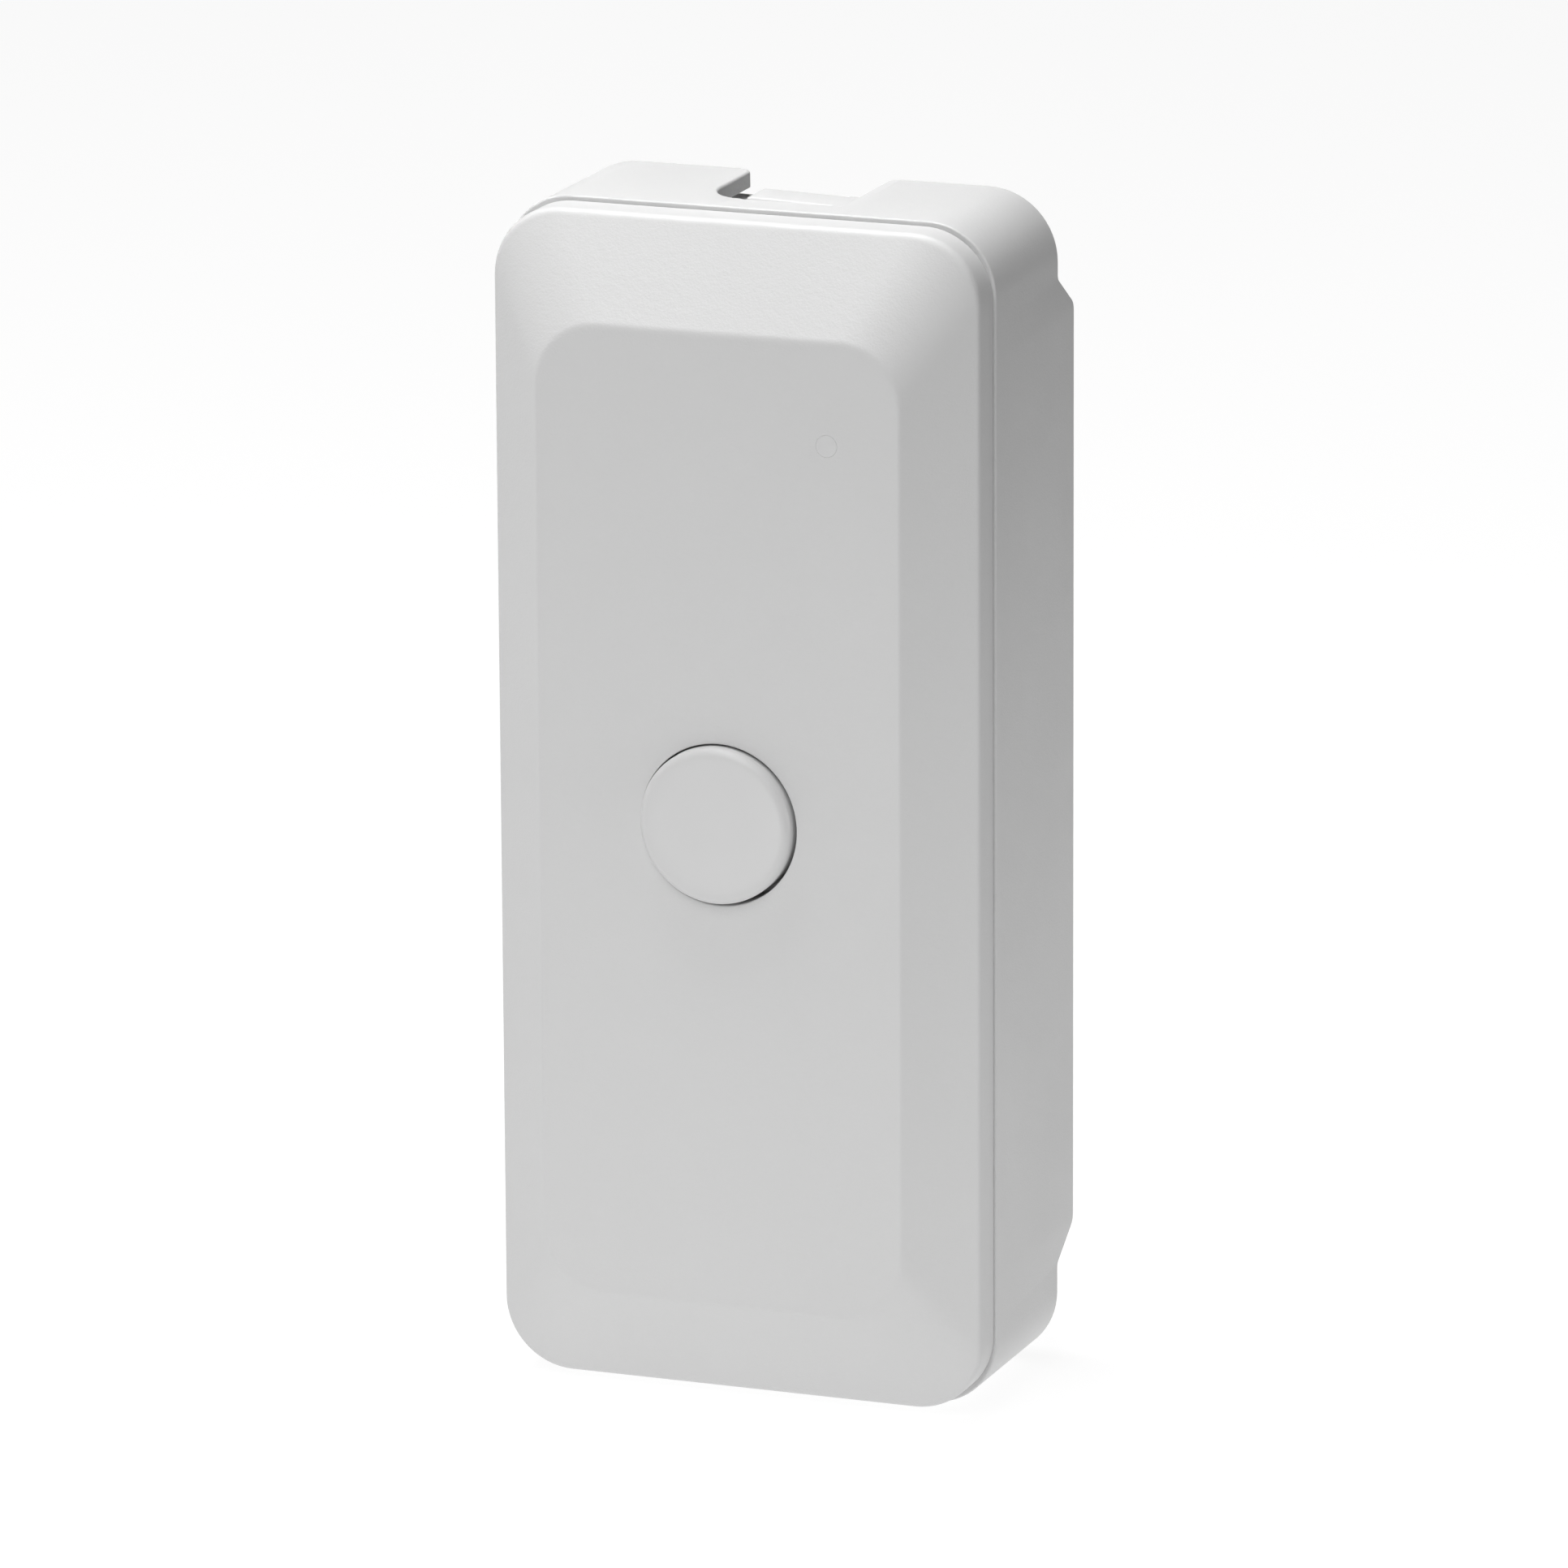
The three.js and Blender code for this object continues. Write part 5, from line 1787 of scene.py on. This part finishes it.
    def chip_part(self, name: str, material: bpy.types.Material, slot: str) -> None:
        """A small two-ended part: its body and its tinned ends.

        Args:
            name: The node it stands for.
            material: Its finish.
            slot: The record's material slot.
        """
        low, high = node_box(name)
        end = 0.32 * MM
        shrink = np.array([0, 0.04 * MM, 0.04 * MM])
        inner = soft_block(
            low + shrink + np.array([end * 0.6, 0, 0]),
            high - shrink - np.array([end * 0.6, 0, 0]),
            0.05 * MM,
        )
        Piece(f"{name}_body", inner, "housing", slot, (name,)).finish(material)
        left = soft_block(low, (low[0] + end, high[1], high[2]), 0.07 * MM)
        right = soft_block((high[0] - end, low[1], low[2]), high, 0.07 * MM)
        merge(Piece(f"{name}_ends", left, "housing", "tin_plate", (name,)), right).finish(self.palette.tin)

    def gull_wing(self, inner: float, outer: float, shoulder: float, foot: float, z: float) -> Skin:
        """One bent leg, from the body's side down to its flat foot.

        Args:
            inner: Where it leaves the body, as x.
            outer: Where its foot ends, as x.
            shoulder: Depth where it leaves the body.
            foot: Depth of its foot.
            z: Its height.

        Returns:
            The closed skin.
        """
        knee = inner + 0.42 * (outer - inner)
        corners = np.array(
            [(inner, shoulder), (knee, shoulder), (knee + 0.12 * (outer - inner), foot), (outer, foot)]
        )
        path = soften(corners, np.array([0, 0.16, 0.16, 0]) * MM, steps=5, guard=0.03 * MM)
        return strip(path, 0.17 * MM, (z - 0.2 * MM, z + 0.2 * MM), Axis.UPRIGHT)

    def microcontroller(self) -> None:
        """The larger chip: its body with drafted sides, and fourteen bent legs."""
        low, high = node_box("microcontroller")
        middle = (low + high) / 2
        back = high[1]
        body_low = np.array([middle[0] - 1.95 * MM, low[1], low[2]])
        body_high = np.array([middle[0] + 1.95 * MM, back - 0.15 * MM, high[2]])
        half, t = (body_high - body_low) / 2, np.array([0.0, 0.06, 0.42, 0.5, 0.94, 1.0])
        inset = np.array([0.22, 0.14, 0.02, 0.02, 0.12, 0.2]) * MM
        zero = np.zeros(6)
        depth = body_low[1] + 2 * half[1] * t
        stations = np.stack(
            [half[0] - inset, half[2] - inset, 0.25 * MM + zero, depth, zero, zero], axis=-1
        )
        centre = (body_low + body_high) / 2
        skin = weave(loft(stations, (4, 1, 1)) + np.array([centre[0], 0, centre[2]]))
        piece = Piece("microcontroller_body", skin, "housing", "chip_resin", ("microcontroller",))
        at = (body_low[0] + 0.7 * MM, 0, body_high[2] - 0.7 * MM)
        piece.combine(Join.CUT, rod(0.3 * MM, low[1] - 1 * MM, low[1] + 0.07 * MM, at, sides=24))
        piece.finish(self.palette.resin)
        reach = (high[0] - low[0]) / 2
        legs = [
            self.gull_wing(
                middle[0] + side * 1.85 * MM,
                middle[0] + side * reach,
                back - 0.8 * MM,
                back - 0.086 * MM,
                z,
            )
            for side in (-1, 1)
            for z in middle[2] + np.arange(-3, 4) * 1.27 * MM
        ]
        merge(
            Piece("microcontroller_legs", legs[0], "housing", "tin_plate", ("microcontroller",)), *legs[1:]
        ).finish(self.palette.tin)

    def crystal(self) -> None:
        """The crystal's rounded can with its welded flange."""
        low, high = node_box("crystal_can")
        half = (high - low) / 2
        centre = (low + high) / 2
        inset = np.array([0.85, 0.55, 0.36, 0.3, 0.3, 0.0, 0.0, 0.02]) * MM
        from_front = low[1] + np.array([0.0, 0.05, 0.28, 0.6]) * MM
        from_back = high[1] - np.array([0.75, 0.45, 0.08, 0.0]) * MM
        depth = np.concatenate([from_front, from_back])
        zero = np.zeros(8)
        radius = half[0] - inset - 0.01 * MM
        stations = np.stack([half[0] - inset, half[2] - inset, radius, depth, zero, zero], axis=-1)
        skin = weave(loft(stations, (14, 1, 1)) + np.array([centre[0], 0, centre[2]]))
        Piece("crystal_case", skin, "housing", "tin_plate", ("crystal_can",)).finish(self.palette.tin)

    def capacitor(self) -> None:
        """The aluminium can capacitor: foot, grooved can and its dark printed sector."""
        low, high = node_box("bulk_capacitor")
        centre, half = (low + high) / 2, (high[0] - low[0]) / 2
        foot_front = high[1] - 0.9 * MM
        cut = 0.7 * MM
        chamfered = np.array(
            [
                (-half, -half),
                (half, -half),
                (half, half - cut),
                (half - cut, half),
                (-half + cut, half),
                (-half, half - cut),
            ]
        )
        edge = 0.1 * MM
        outline = chamfered + centre[[0, 2]]
        foot = carried(outline, (foot_front, foot_front + edge, high[1]), Axis.DEPTH, (-edge, 0, 0))
        Piece(
            "capacitor_foot", foot, "housing", "black_plastic", ("bulk_capacitor",)
        ).finish(self.palette.black)
        r = 2.48 * MM
        corners = np.array(
            [
                (0.02 * MM, low[1]),
                (r, low[1]),
                (r, foot_front - 0.75 * MM),
                (r - 0.22 * MM, foot_front - 0.45 * MM),
                (r, foot_front - 0.2 * MM),
                (r, foot_front),
                (0.02 * MM, foot_front),
            ]
        )
        path = soften(corners, np.array([0, 0.3, 0.15, 0.18, 0.1, 0.05, 0]) * MM, steps=6)
        Piece(
            "capacitor_case",
            turned(path, centre, sides=72),
            "housing",
            "can_aluminium",
            ("bulk_capacitor",),
        ).finish(self.palette.aluminium)
        sector = arc(centre[[0, 2]], r - 0.36 * MM, 130, 230, 24)
        print_skin = carried(sector, (low[1], low[1] + 0.05 * MM), Axis.DEPTH)
        print_skin.points[:, 1] -= 0.012 * MM
        Piece("capacitor_mark", print_skin, "housing", "black_plastic", ()).finish(self.palette.black)

    def antenna(self) -> None:
        """The copper coil and its two solder feet."""
        low, high = node_box("antenna_coil")
        wire = 0.35 * MM
        coil = 2.2 * MM
        middle = (low[0] + high[0]) / 2
        centre = (middle, low[1] + coil + wire)
        path = helix(8, (coil, coil), (low[2] + wire, high[2] - wire), centre, 8 * 56)
        Piece(
            "antenna_wire", tube(path, wire, (0, 0, 1), 16), "housing", "copper_wire", ("antenna_coil",)
        ).finish(self.palette.copper)
        for name in ("antenna_pad_1", "antenna_pad_2"):
            a, b = node_box(name)
            Piece(
                f"{name}_solder", soft_block(a, b, 0.12 * MM), "housing", "tin_plate", (name,)
            ).finish(self.palette.tin)

    def indicator(self) -> None:
        """The status LED: ceramic base with tinned ends, and its domed lens."""
        self.chip_part("status_led", self.palette.ceramic, "ceramic")
        low, high = node_box("led_lens")
        t = np.linspace(0, QUARTER, 10)
        r = (high[0] - low[0]) / 2
        dome = np.stack(
            [np.maximum(r * np.sin(t), 0.02 * MM), low[1] + 0.75 * MM * (1 - np.cos(t))], axis=-1
        )
        profile = np.concatenate([dome, [(r, high[1] - 0.03 * MM), (0.02 * MM, high[1])]])
        skin = turned(profile, (low + high) / 2, sides=40)
        Piece("led_dome", skin, "housing", "lens_resin", ("led_lens",)).finish(self.palette.lens)

    def build(self) -> None:
        """Makes the board and everything on it."""
        self.plate()
        self.vias()
        self.tracks()
        self.markings()
        for name in ("board_screw_1", "board_screw_2"):
            self.screw(name)
        self.package("radio_chip", 0.06 * MM, self.palette.resin, "chip_resin", dot=True)
        self.microcontroller()
        self.crystal()
        self.capacitor()
        self.antenna()
        self.indicator()
        for number in (1, 2, 3):
            self.chip_part(f"ceramic_capacitor_{number}", self.palette.ceramic, "ceramic")
            self.chip_part(f"chip_resistor_{number}", self.palette.resin, "chip_resin")


@dataclass
class TactileSwitch:
    """The push switch behind the button: base, plate, plunger and four legs.

    Attributes:
        palette: The shared finishes.
        well: Radius of the base's round well.
        rim: Radius of the hole in the plate.
    """

    palette: Palette
    well: float = 2.6 * MM
    rim: float = 1.95 * MM

    def base(self) -> None:
        """The moulded base with its round well and moulded corner pips."""
        low, high = node_box("switch_base")
        piece = Piece(
            "switch_body", soft_block(low, high, 0.15 * MM), "housing", "black_plastic", ("switch_base",)
        )
        well = rod(self.well, low[1] - 1 * MM, low[1] + 1.3 * MM, (0, 0, 0), sides=64)
        piece.combine(Join.CUT, well).finish(self.palette.black)

    def plate(self) -> None:
        """The metal plate with its raised hole edge and folded ears."""
        low, high = node_box("switch_plate")
        back = node_box("switch_base")[0][1] - 0.05 * MM
        sheet = soft_block((low[0], low[1], low[2]), (high[0], back, high[2]), 0.12 * MM)
        piece = Piece("switch_cover", sheet, "housing", "tin_plate", ("switch_plate",))
        ears = [
            soft_block(
                (low[0], low[1] + 0.02 * MM, -1 * MM), (low[0] + 0.2 * MM, high[1], 1 * MM), 0.05 * MM
            ),
            soft_block(
                (high[0] - 0.2 * MM, low[1] + 0.02 * MM, -1 * MM), (high[0], high[1], 1 * MM), 0.05 * MM
            ),
        ]
        piece.combine(Join.ADD, *ears)
        path = [
            (self.rim + 0.12 * MM, low[1] - 1 * MM),
            (self.rim + 0.12 * MM, low[1]),
            (self.rim, low[1] + 0.1 * MM),
            (self.rim, back + 1 * MM),
        ]
        piece.combine(Join.CUT, turned(np.array(path), (0, 0, 0), sides=64)).finish(self.palette.tin)

    def plunger(self) -> None:
        """The moving plunger with its rounded tip and its flange."""
        low, high = node_box("switch_plunger")
        r, flange = 1.75 * MM, high[0]
        shoulder = high[1] - 0.5 * MM
        corners = np.array(
            [
                (0.02 * MM, low[1]),
                (r, low[1]),
                (r, shoulder),
                (flange, shoulder),
                (flange, high[1]),
                (0.02 * MM, high[1]),
            ]
        )
        path = soften(corners, np.array([0, 0.2, 0.05, 0.1, 0.1, 0]) * MM, steps=6)
        Piece(
            "plunger_stem",
            turned(path, (0, 0, 0), sides=64),
            "plunger",
            "black_plastic",
            ("switch_plunger",),
        ).finish(self.palette.black)

    def leg(self, name: str) -> None:
        """A bent leg that goes out sideways and back through the board.

        Args:
            name: The node it stands for.
        """
        low, high = node_box(name)
        side = 1 if low[0] > 0 else -1
        inner, outer = (low[0], high[0]) if side > 0 else (high[0], low[0])
        shelf = low[1] + 0.15 * MM
        pin = outer - side * 0.15 * MM
        corners = np.array([(inner, shelf), (pin, shelf), (pin, high[1])])
        path = soften(corners, np.array([0, 0.2, 0]) * MM, steps=6, guard=0.03 * MM)
        skin = strip(path, 0.29 * MM, (low[2], high[2]), Axis.UPRIGHT)
        Piece(f"{name}_strip", skin, "housing", "tin_plate", (name,)).finish(self.palette.tin)

    def build(self) -> None:
        """Makes the whole switch."""
        self.base()
        self.plate()
        self.plunger()
        for number in (1, 2, 3, 4):
            self.leg(f"switch_leg_{number}")


# ---- Battery ------------------------------------------------------------------------


@dataclass
class Battery:
    """The half-length cell, its cradle, its contacts and its spring.

    Attributes:
        palette: The shared finishes.
        housing: The rear housing, whose rear surface the cradle follows.
        radius: The cell's radius.
        nub: How far the cell's nub stands up.
        end_wall: Thickness of the cradle's end walls.
        edge: Depth of the saddle's front edge.
        centre: The cell's middle line, as x and y.
    """

    palette: Palette
    housing: RearHousing
    radius: float = 7.25 * MM
    nub: float = 1.2 * MM
    end_wall: float = 0.75 * MM
    edge: float = -9.3 * MM
    centre: tuple[float, float] = field(init=False)

    def __post_init__(self) -> None:
        """Reads the cell's middle line from the frame."""
        low, high = node_box("cell_can")
        self.centre = (0.0, (low[1] + high[1]) / 2)

    @property
    def axis_place(self) -> tuple[float, float, float]:
        """The cell's middle line as a place for turned shapes."""
        return (self.centre[0], self.centre[1], 0.0)

    def cradle(self) -> None:
        """The saddle, its end walls and its snap arms, with the round channel cut out."""
        low, high = node_box("battery_cradle")
        half, bottom, top = high[0], low[2], high[2]
        saddle = soft_block((-half, self.edge, bottom), (half, 1 * MM, top), 0.3 * MM)
        piece = Piece("cradle_body", saddle, "housing", "cradle_plastic", ("battery_cradle",))
        piece.combine(Join.KEEP, self.housing.limit(self.housing.back_wall + 0.05 * MM))
        walls = [
            soft_block(
                (-6.8 * MM, low[1], bottom),
                (6.8 * MM, self.edge + 1 * MM, bottom + self.end_wall),
                0.2 * MM,
            ),
            soft_block(
                (-6.8 * MM, low[1], top - self.end_wall), (6.8 * MM, self.edge + 1 * MM, top), 0.2 * MM
            ),
            soft_block((6 * MM, -13.4 * MM, -22.5 * MM), (half, self.edge + 1 * MM, -16.5 * MM), 0.4 * MM),
            soft_block(
                (-half, -13.4 * MM, -22.5 * MM), (-6 * MM, self.edge + 1 * MM, -16.5 * MM), 0.4 * MM
            ),
        ]
        piece.combine(Join.ADD, *walls)
        ends = (bottom + self.end_wall, top - self.end_wall)
        piece.combine(Join.CUT, rod(self.radius + 0.2 * MM, *ends, self.axis_place, Axis.UPRIGHT, 128))
        piece.finish(self.palette.cradle)

    def cell(self) -> None:
        """The cell's steel can with its crimp and nub, and the wrap with its shrunk ends."""
        low, high = node_box("cell_can")
        r = self.radius - 0.2 * MM
        shoulder = high[2] - self.nub
        corners = np.array(
            [
                (0.02 * MM, low[2] + 0.12 * MM),
                (4.2 * MM, low[2] + 0.12 * MM),
                (4.5 * MM, low[2]),
                (r, low[2]),
                (r, shoulder),
                (r - 1.5 * MM, shoulder),
                (r - 1.7 * MM, shoulder - 0.25 * MM),
                (2.9 * MM, shoulder - 0.25 * MM),
                (2.8 * MM, high[2]),
                (0.02 * MM, high[2]),
            ]
        )
        path = soften(corners, np.array([0, 0.1, 0.1, 0.5, 0.5, 0.1, 0.1, 0.2, 0.35, 0]) * MM, steps=7)
        skin = turned(path, self.axis_place, Axis.UPRIGHT, 128)
        Piece("cell_steel", skin, "housing", "steel", ("cell_can",)).finish(self.palette.steel)
        a, b = node_box("cell_wrap")
        inner, outer, lip = self.radius - 0.16 * MM, self.radius, 0.08 * MM
        loop = np.array(
            [
                (inner, a[2]),
                (outer - lip, a[2]),
                (outer, a[2] + 3 * lip),
                (outer, b[2] - 3 * lip),
                (outer - lip, b[2]),
                (inner, b[2]),
            ]
        )
        wrap = soften(
            loop, np.array([0.02, 0.05, 0.1, 0.1, 0.05, 0.02]) * MM, steps=5, guard=0.02 * MM, closed=True
        )
        sleeve = turned(wrap, self.axis_place, Axis.UPRIGHT, 128, wrap=True)
        Piece("cell_sleeve", sleeve, "housing", "cell_wrap", ("cell_wrap",)).finish(self.palette.wrap)

    def contacts(self) -> None:
        """The two sheet contacts: rounded plates, arms and tails."""
        low, high = node_box("positive_contact")
        top = node_box("battery_cradle")[1][2] - self.end_wall - 0.05 * MM
        level = (top - 0.3 * MM, top)
        plate = soft_block((-4.2 * MM, low[1], level[0]), (4.2 * MM, high[1], level[1]), 0.13 * MM)
        piece = Piece("positive_plate", plate, "housing", "tin_plate", ("positive_contact",))
        arm = soft_block((low[0], -11.2 * MM, level[0]), (-4 * MM, high[1], level[1]), 0.12 * MM)
        tail = soft_block((low[0], -9.9 * MM, level[0]), (-7.2 * MM, high[1], high[2]), 0.1 * MM)
        piece.combine(Join.ADD, arm, tail).finish(self.palette.tin)
        low, high = node_box("negative_contact")
        level = (low[2], low[2] + 0.3 * MM)
        plate = soft_block((-5 * MM, low[1], level[0]), (5 * MM, high[1], level[1]), 0.13 * MM)
        piece = Piece("negative_plate", plate, "housing", "tin_plate", ("negative_contact",))
        arm = soft_block((4.8 * MM, -11.2 * MM, level[0]), (high[0], -9.6 * MM, level[1]), 0.12 * MM)
        strap = soft_block(
            (high[0] - 0.3 * MM, -11.2 * MM, level[0]), (high[0], -9.6 * MM, high[2]), 0.12 * MM
        )
        piece.combine(Join.ADD, arm, strap).finish(self.palette.tin)

    def spring(self) -> None:
        """The conical contact spring."""
        low, high = node_box("negative_spring")
        wire = 0.32 * MM
        t = np.linspace(0, 1, 2 * 96)
        angle = 2 * np.pi * 2.75 * t
        radius = (4.6 - 2.2 * t) * MM
        path = np.stack(
            [
                radius * np.cos(angle),
                self.centre[1] + radius * np.sin(angle),
                low[2] + wire + (high[2] - low[2] - 2 * wire) * t,
            ],
            axis=-1,
        )
        Piece(
            "spring_wire", tube(path, wire, (0, 0, 1), 14), "housing", "steel", ("negative_spring",)
        ).finish(self.palette.steel)

    def build(self) -> None:
        """Makes the cell and all that holds it."""
        self.cradle()
        self.cell()
        self.contacts()
        self.spring()


# ---- Studio -------------------------------------------------------------------------


@dataclass(frozen=True)
class Softbox:
    """A square soft light that faces the object.

    Attributes:
        name: The light's name.
        place: Its centre.
        size: Its width and height.
        power: Its power in watts.
    """

    name: str
    place: tuple[float, float, float]
    size: float
    power: float

    def build(self) -> None:
        """Adds the light."""
        data = bpy.data.lights.new(self.name, "AREA")
        data.size = self.size
        data.energy = self.power
        thing = bpy.data.objects.new(self.name, data)
        thing.location = self.place
        thing.rotation_euler = (-Vector(self.place)).to_track_quat("-Z", "Y").to_euler()
        thing.visible_camera = False
        bpy.context.collection.objects.link(thing)


@dataclass
class Studio:
    """The pale floor, the soft lights and the camera.

    Attributes:
        softboxes: The soft lights.
        floor_glow: How strongly the lit floor shines.
        world_glow: How bright the surroundings look; they light nothing.
        azimuth: The camera's turn round the object, in degrees.
        elevation: The camera's height above the horizon, in degrees.
        roll: The camera's roll, in degrees.
        distance: From the camera to its aim.
        lens: Focal length in millimetres on a 36 mm sensor.
        aim: How far the aim lies to the right of and above the rim's centre.
    """

    softboxes: tuple[Softbox, ...] = (
        Softbox("high_softbox", (0.0, 0.0, 1.0), 0.3, 0.7),
        Softbox("front_softbox", (0.0, -0.7, 0.75), 0.6, 4.7),
        Softbox("left_softbox", (-0.75, 0.0, 0.7), 0.6, 1.6),
        Softbox("near_softbox", (-0.05, 0.0, 0.3), 0.15, 0.87),
        Softbox("right_fill", (0.11, -0.02, 0.0), 0.05, 0.0215),
        Softbox("front_fill", (-0.02, -0.13, -0.02), 0.05, 0.0215),
    )
    floor_glow: float = 0.89
    world_glow: float = 1.0
    azimuth: float = 20.992
    elevation: float = 14.569
    roll: float = -0.309
    distance: float = 0.7821
    lens: float = 273.309
    aim: tuple[float, float] = (3.004 * MM, 1.848 * MM)

    def camera(self) -> None:
        """Sets the camera by its turn, height and roll about the aim."""
        az, el, roll = (math.radians(v) for v in (self.azimuth, self.elevation, self.roll))
        back = Vector((math.sin(az) * math.cos(el), -math.cos(az) * math.cos(el), math.sin(el)))
        level = Vector((math.cos(az), math.sin(az), 0))
        rise = back.cross(level)
        right = math.cos(roll) * level + math.sin(roll) * rise
        up = -math.sin(roll) * level + math.cos(roll) * rise
        low, _ = node_box("front_cover")
        rim = Vector((0, low[1] + FrontCover.flank, 0))
        place = rim + right * self.aim[0] + up * self.aim[1] + back * self.distance
        data = bpy.data.cameras.new("camera")
        data.sensor_width = 36
        data.lens = self.lens
        data.clip_start = 0.01
        thing = bpy.data.objects.new("camera", data)
        columns = Matrix((right, up, back)).transposed().to_4x4()
        thing.matrix_world = Matrix.Translation(place) @ columns
        bpy.context.collection.objects.link(thing)
        bpy.context.scene.camera = thing

    def floor(self) -> None:
        """A wide pale floor just under the object."""
        level = node_box("rear_housing")[0][2] - 0.2 * MM
        size = 6.0
        corners = np.array(
            [(-size, -size, level), (size, -size, level), (size, size, level), (-size, size, level)]
        )
        thing = Piece.solid_object("floor", Skin(corners, [(0, 1, 2, 3)]))
        g = Graph.start("pale_floor")
        g.set(
            Base_Color=g.tint(g.spread(g.noise(3.0), 0, 1), (0.15, 0.15, 0.15), (0.16, 0.16, 0.16)),
            Roughness=0.9,
            Specular_IOR_Level=0.1,
            Emission_Color=(1, 1, 1, 1),
            Emission_Strength=self.floor_glow,
        )
        thing.data.materials.append(g.material)

    def flag(self, name: str, start: tuple[float, float], end: tuple[float, float], top: float) -> None:
        """A dark card on the floor, out of sight, that keeps the far floor's light off a side.

        Args:
            name: The card's name.
            start: Where its foot starts, as x and y.
            end: Where its foot ends.
            top: The height of its upper edge.
        """
        foot = node_box("rear_housing")[0][2] - 0.1 * MM
        corners = np.array([(*start, foot), (*end, foot), (*end, top), (*start, top)])
        thing = Piece.solid_object(name, Skin(corners, [(0, 1, 2, 3)]))
        g = Graph.start(name)
        g.set(Base_Color=g.tint(g.noise(30.0), (0.02, 0.02, 0.02), (0.03, 0.03, 0.03)), Roughness=0.9)
        thing.data.materials.append(g.material)
        thing.visible_camera = False

    def build(self) -> None:
        """Sets up the floor, cards, surroundings, lights and camera."""
        self.floor()
        self.flag("right_card", (0.12, -0.35), (0.12, 0.4), 0.1)
        self.flag("front_card", (-0.45, -0.3), (0.1, -0.3), 0.0)
        world = bpy.data.worlds.new("studio")
        world.use_nodes = True
        background = world.node_tree.nodes["Background"]
        background.inputs["Color"].default_value = (1, 1, 1, 1)
        background.inputs["Strength"].default_value = self.world_glow
        for ray in ("diffuse", "glossy", "transmission", "scatter"):
            setattr(world.cycles_visibility, ray, False)
        bpy.context.scene.world = world
        bpy.context.scene.view_settings.view_transform = "Standard"
        for softbox in self.softboxes:
            softbox.build()
        self.camera()


def main() -> None:
    """Builds every sub-assembly and the studio."""
    logging.basicConfig(level=logging.INFO, format="%(name)s %(message)s")
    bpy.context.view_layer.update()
    palette = Palette()
    housing = RearHousing(palette)
    parts = (
        FrontCover(palette),
        LightPipe(palette),
        PushButton(palette),
        housing,
        ReleaseTab(palette),
        CircuitBoard(palette),
        TactileSwitch(palette),
        Battery(palette, housing),
    )
    for part in parts:
        part.build()
    Studio().build()


if __name__ == "__main__":
    main()
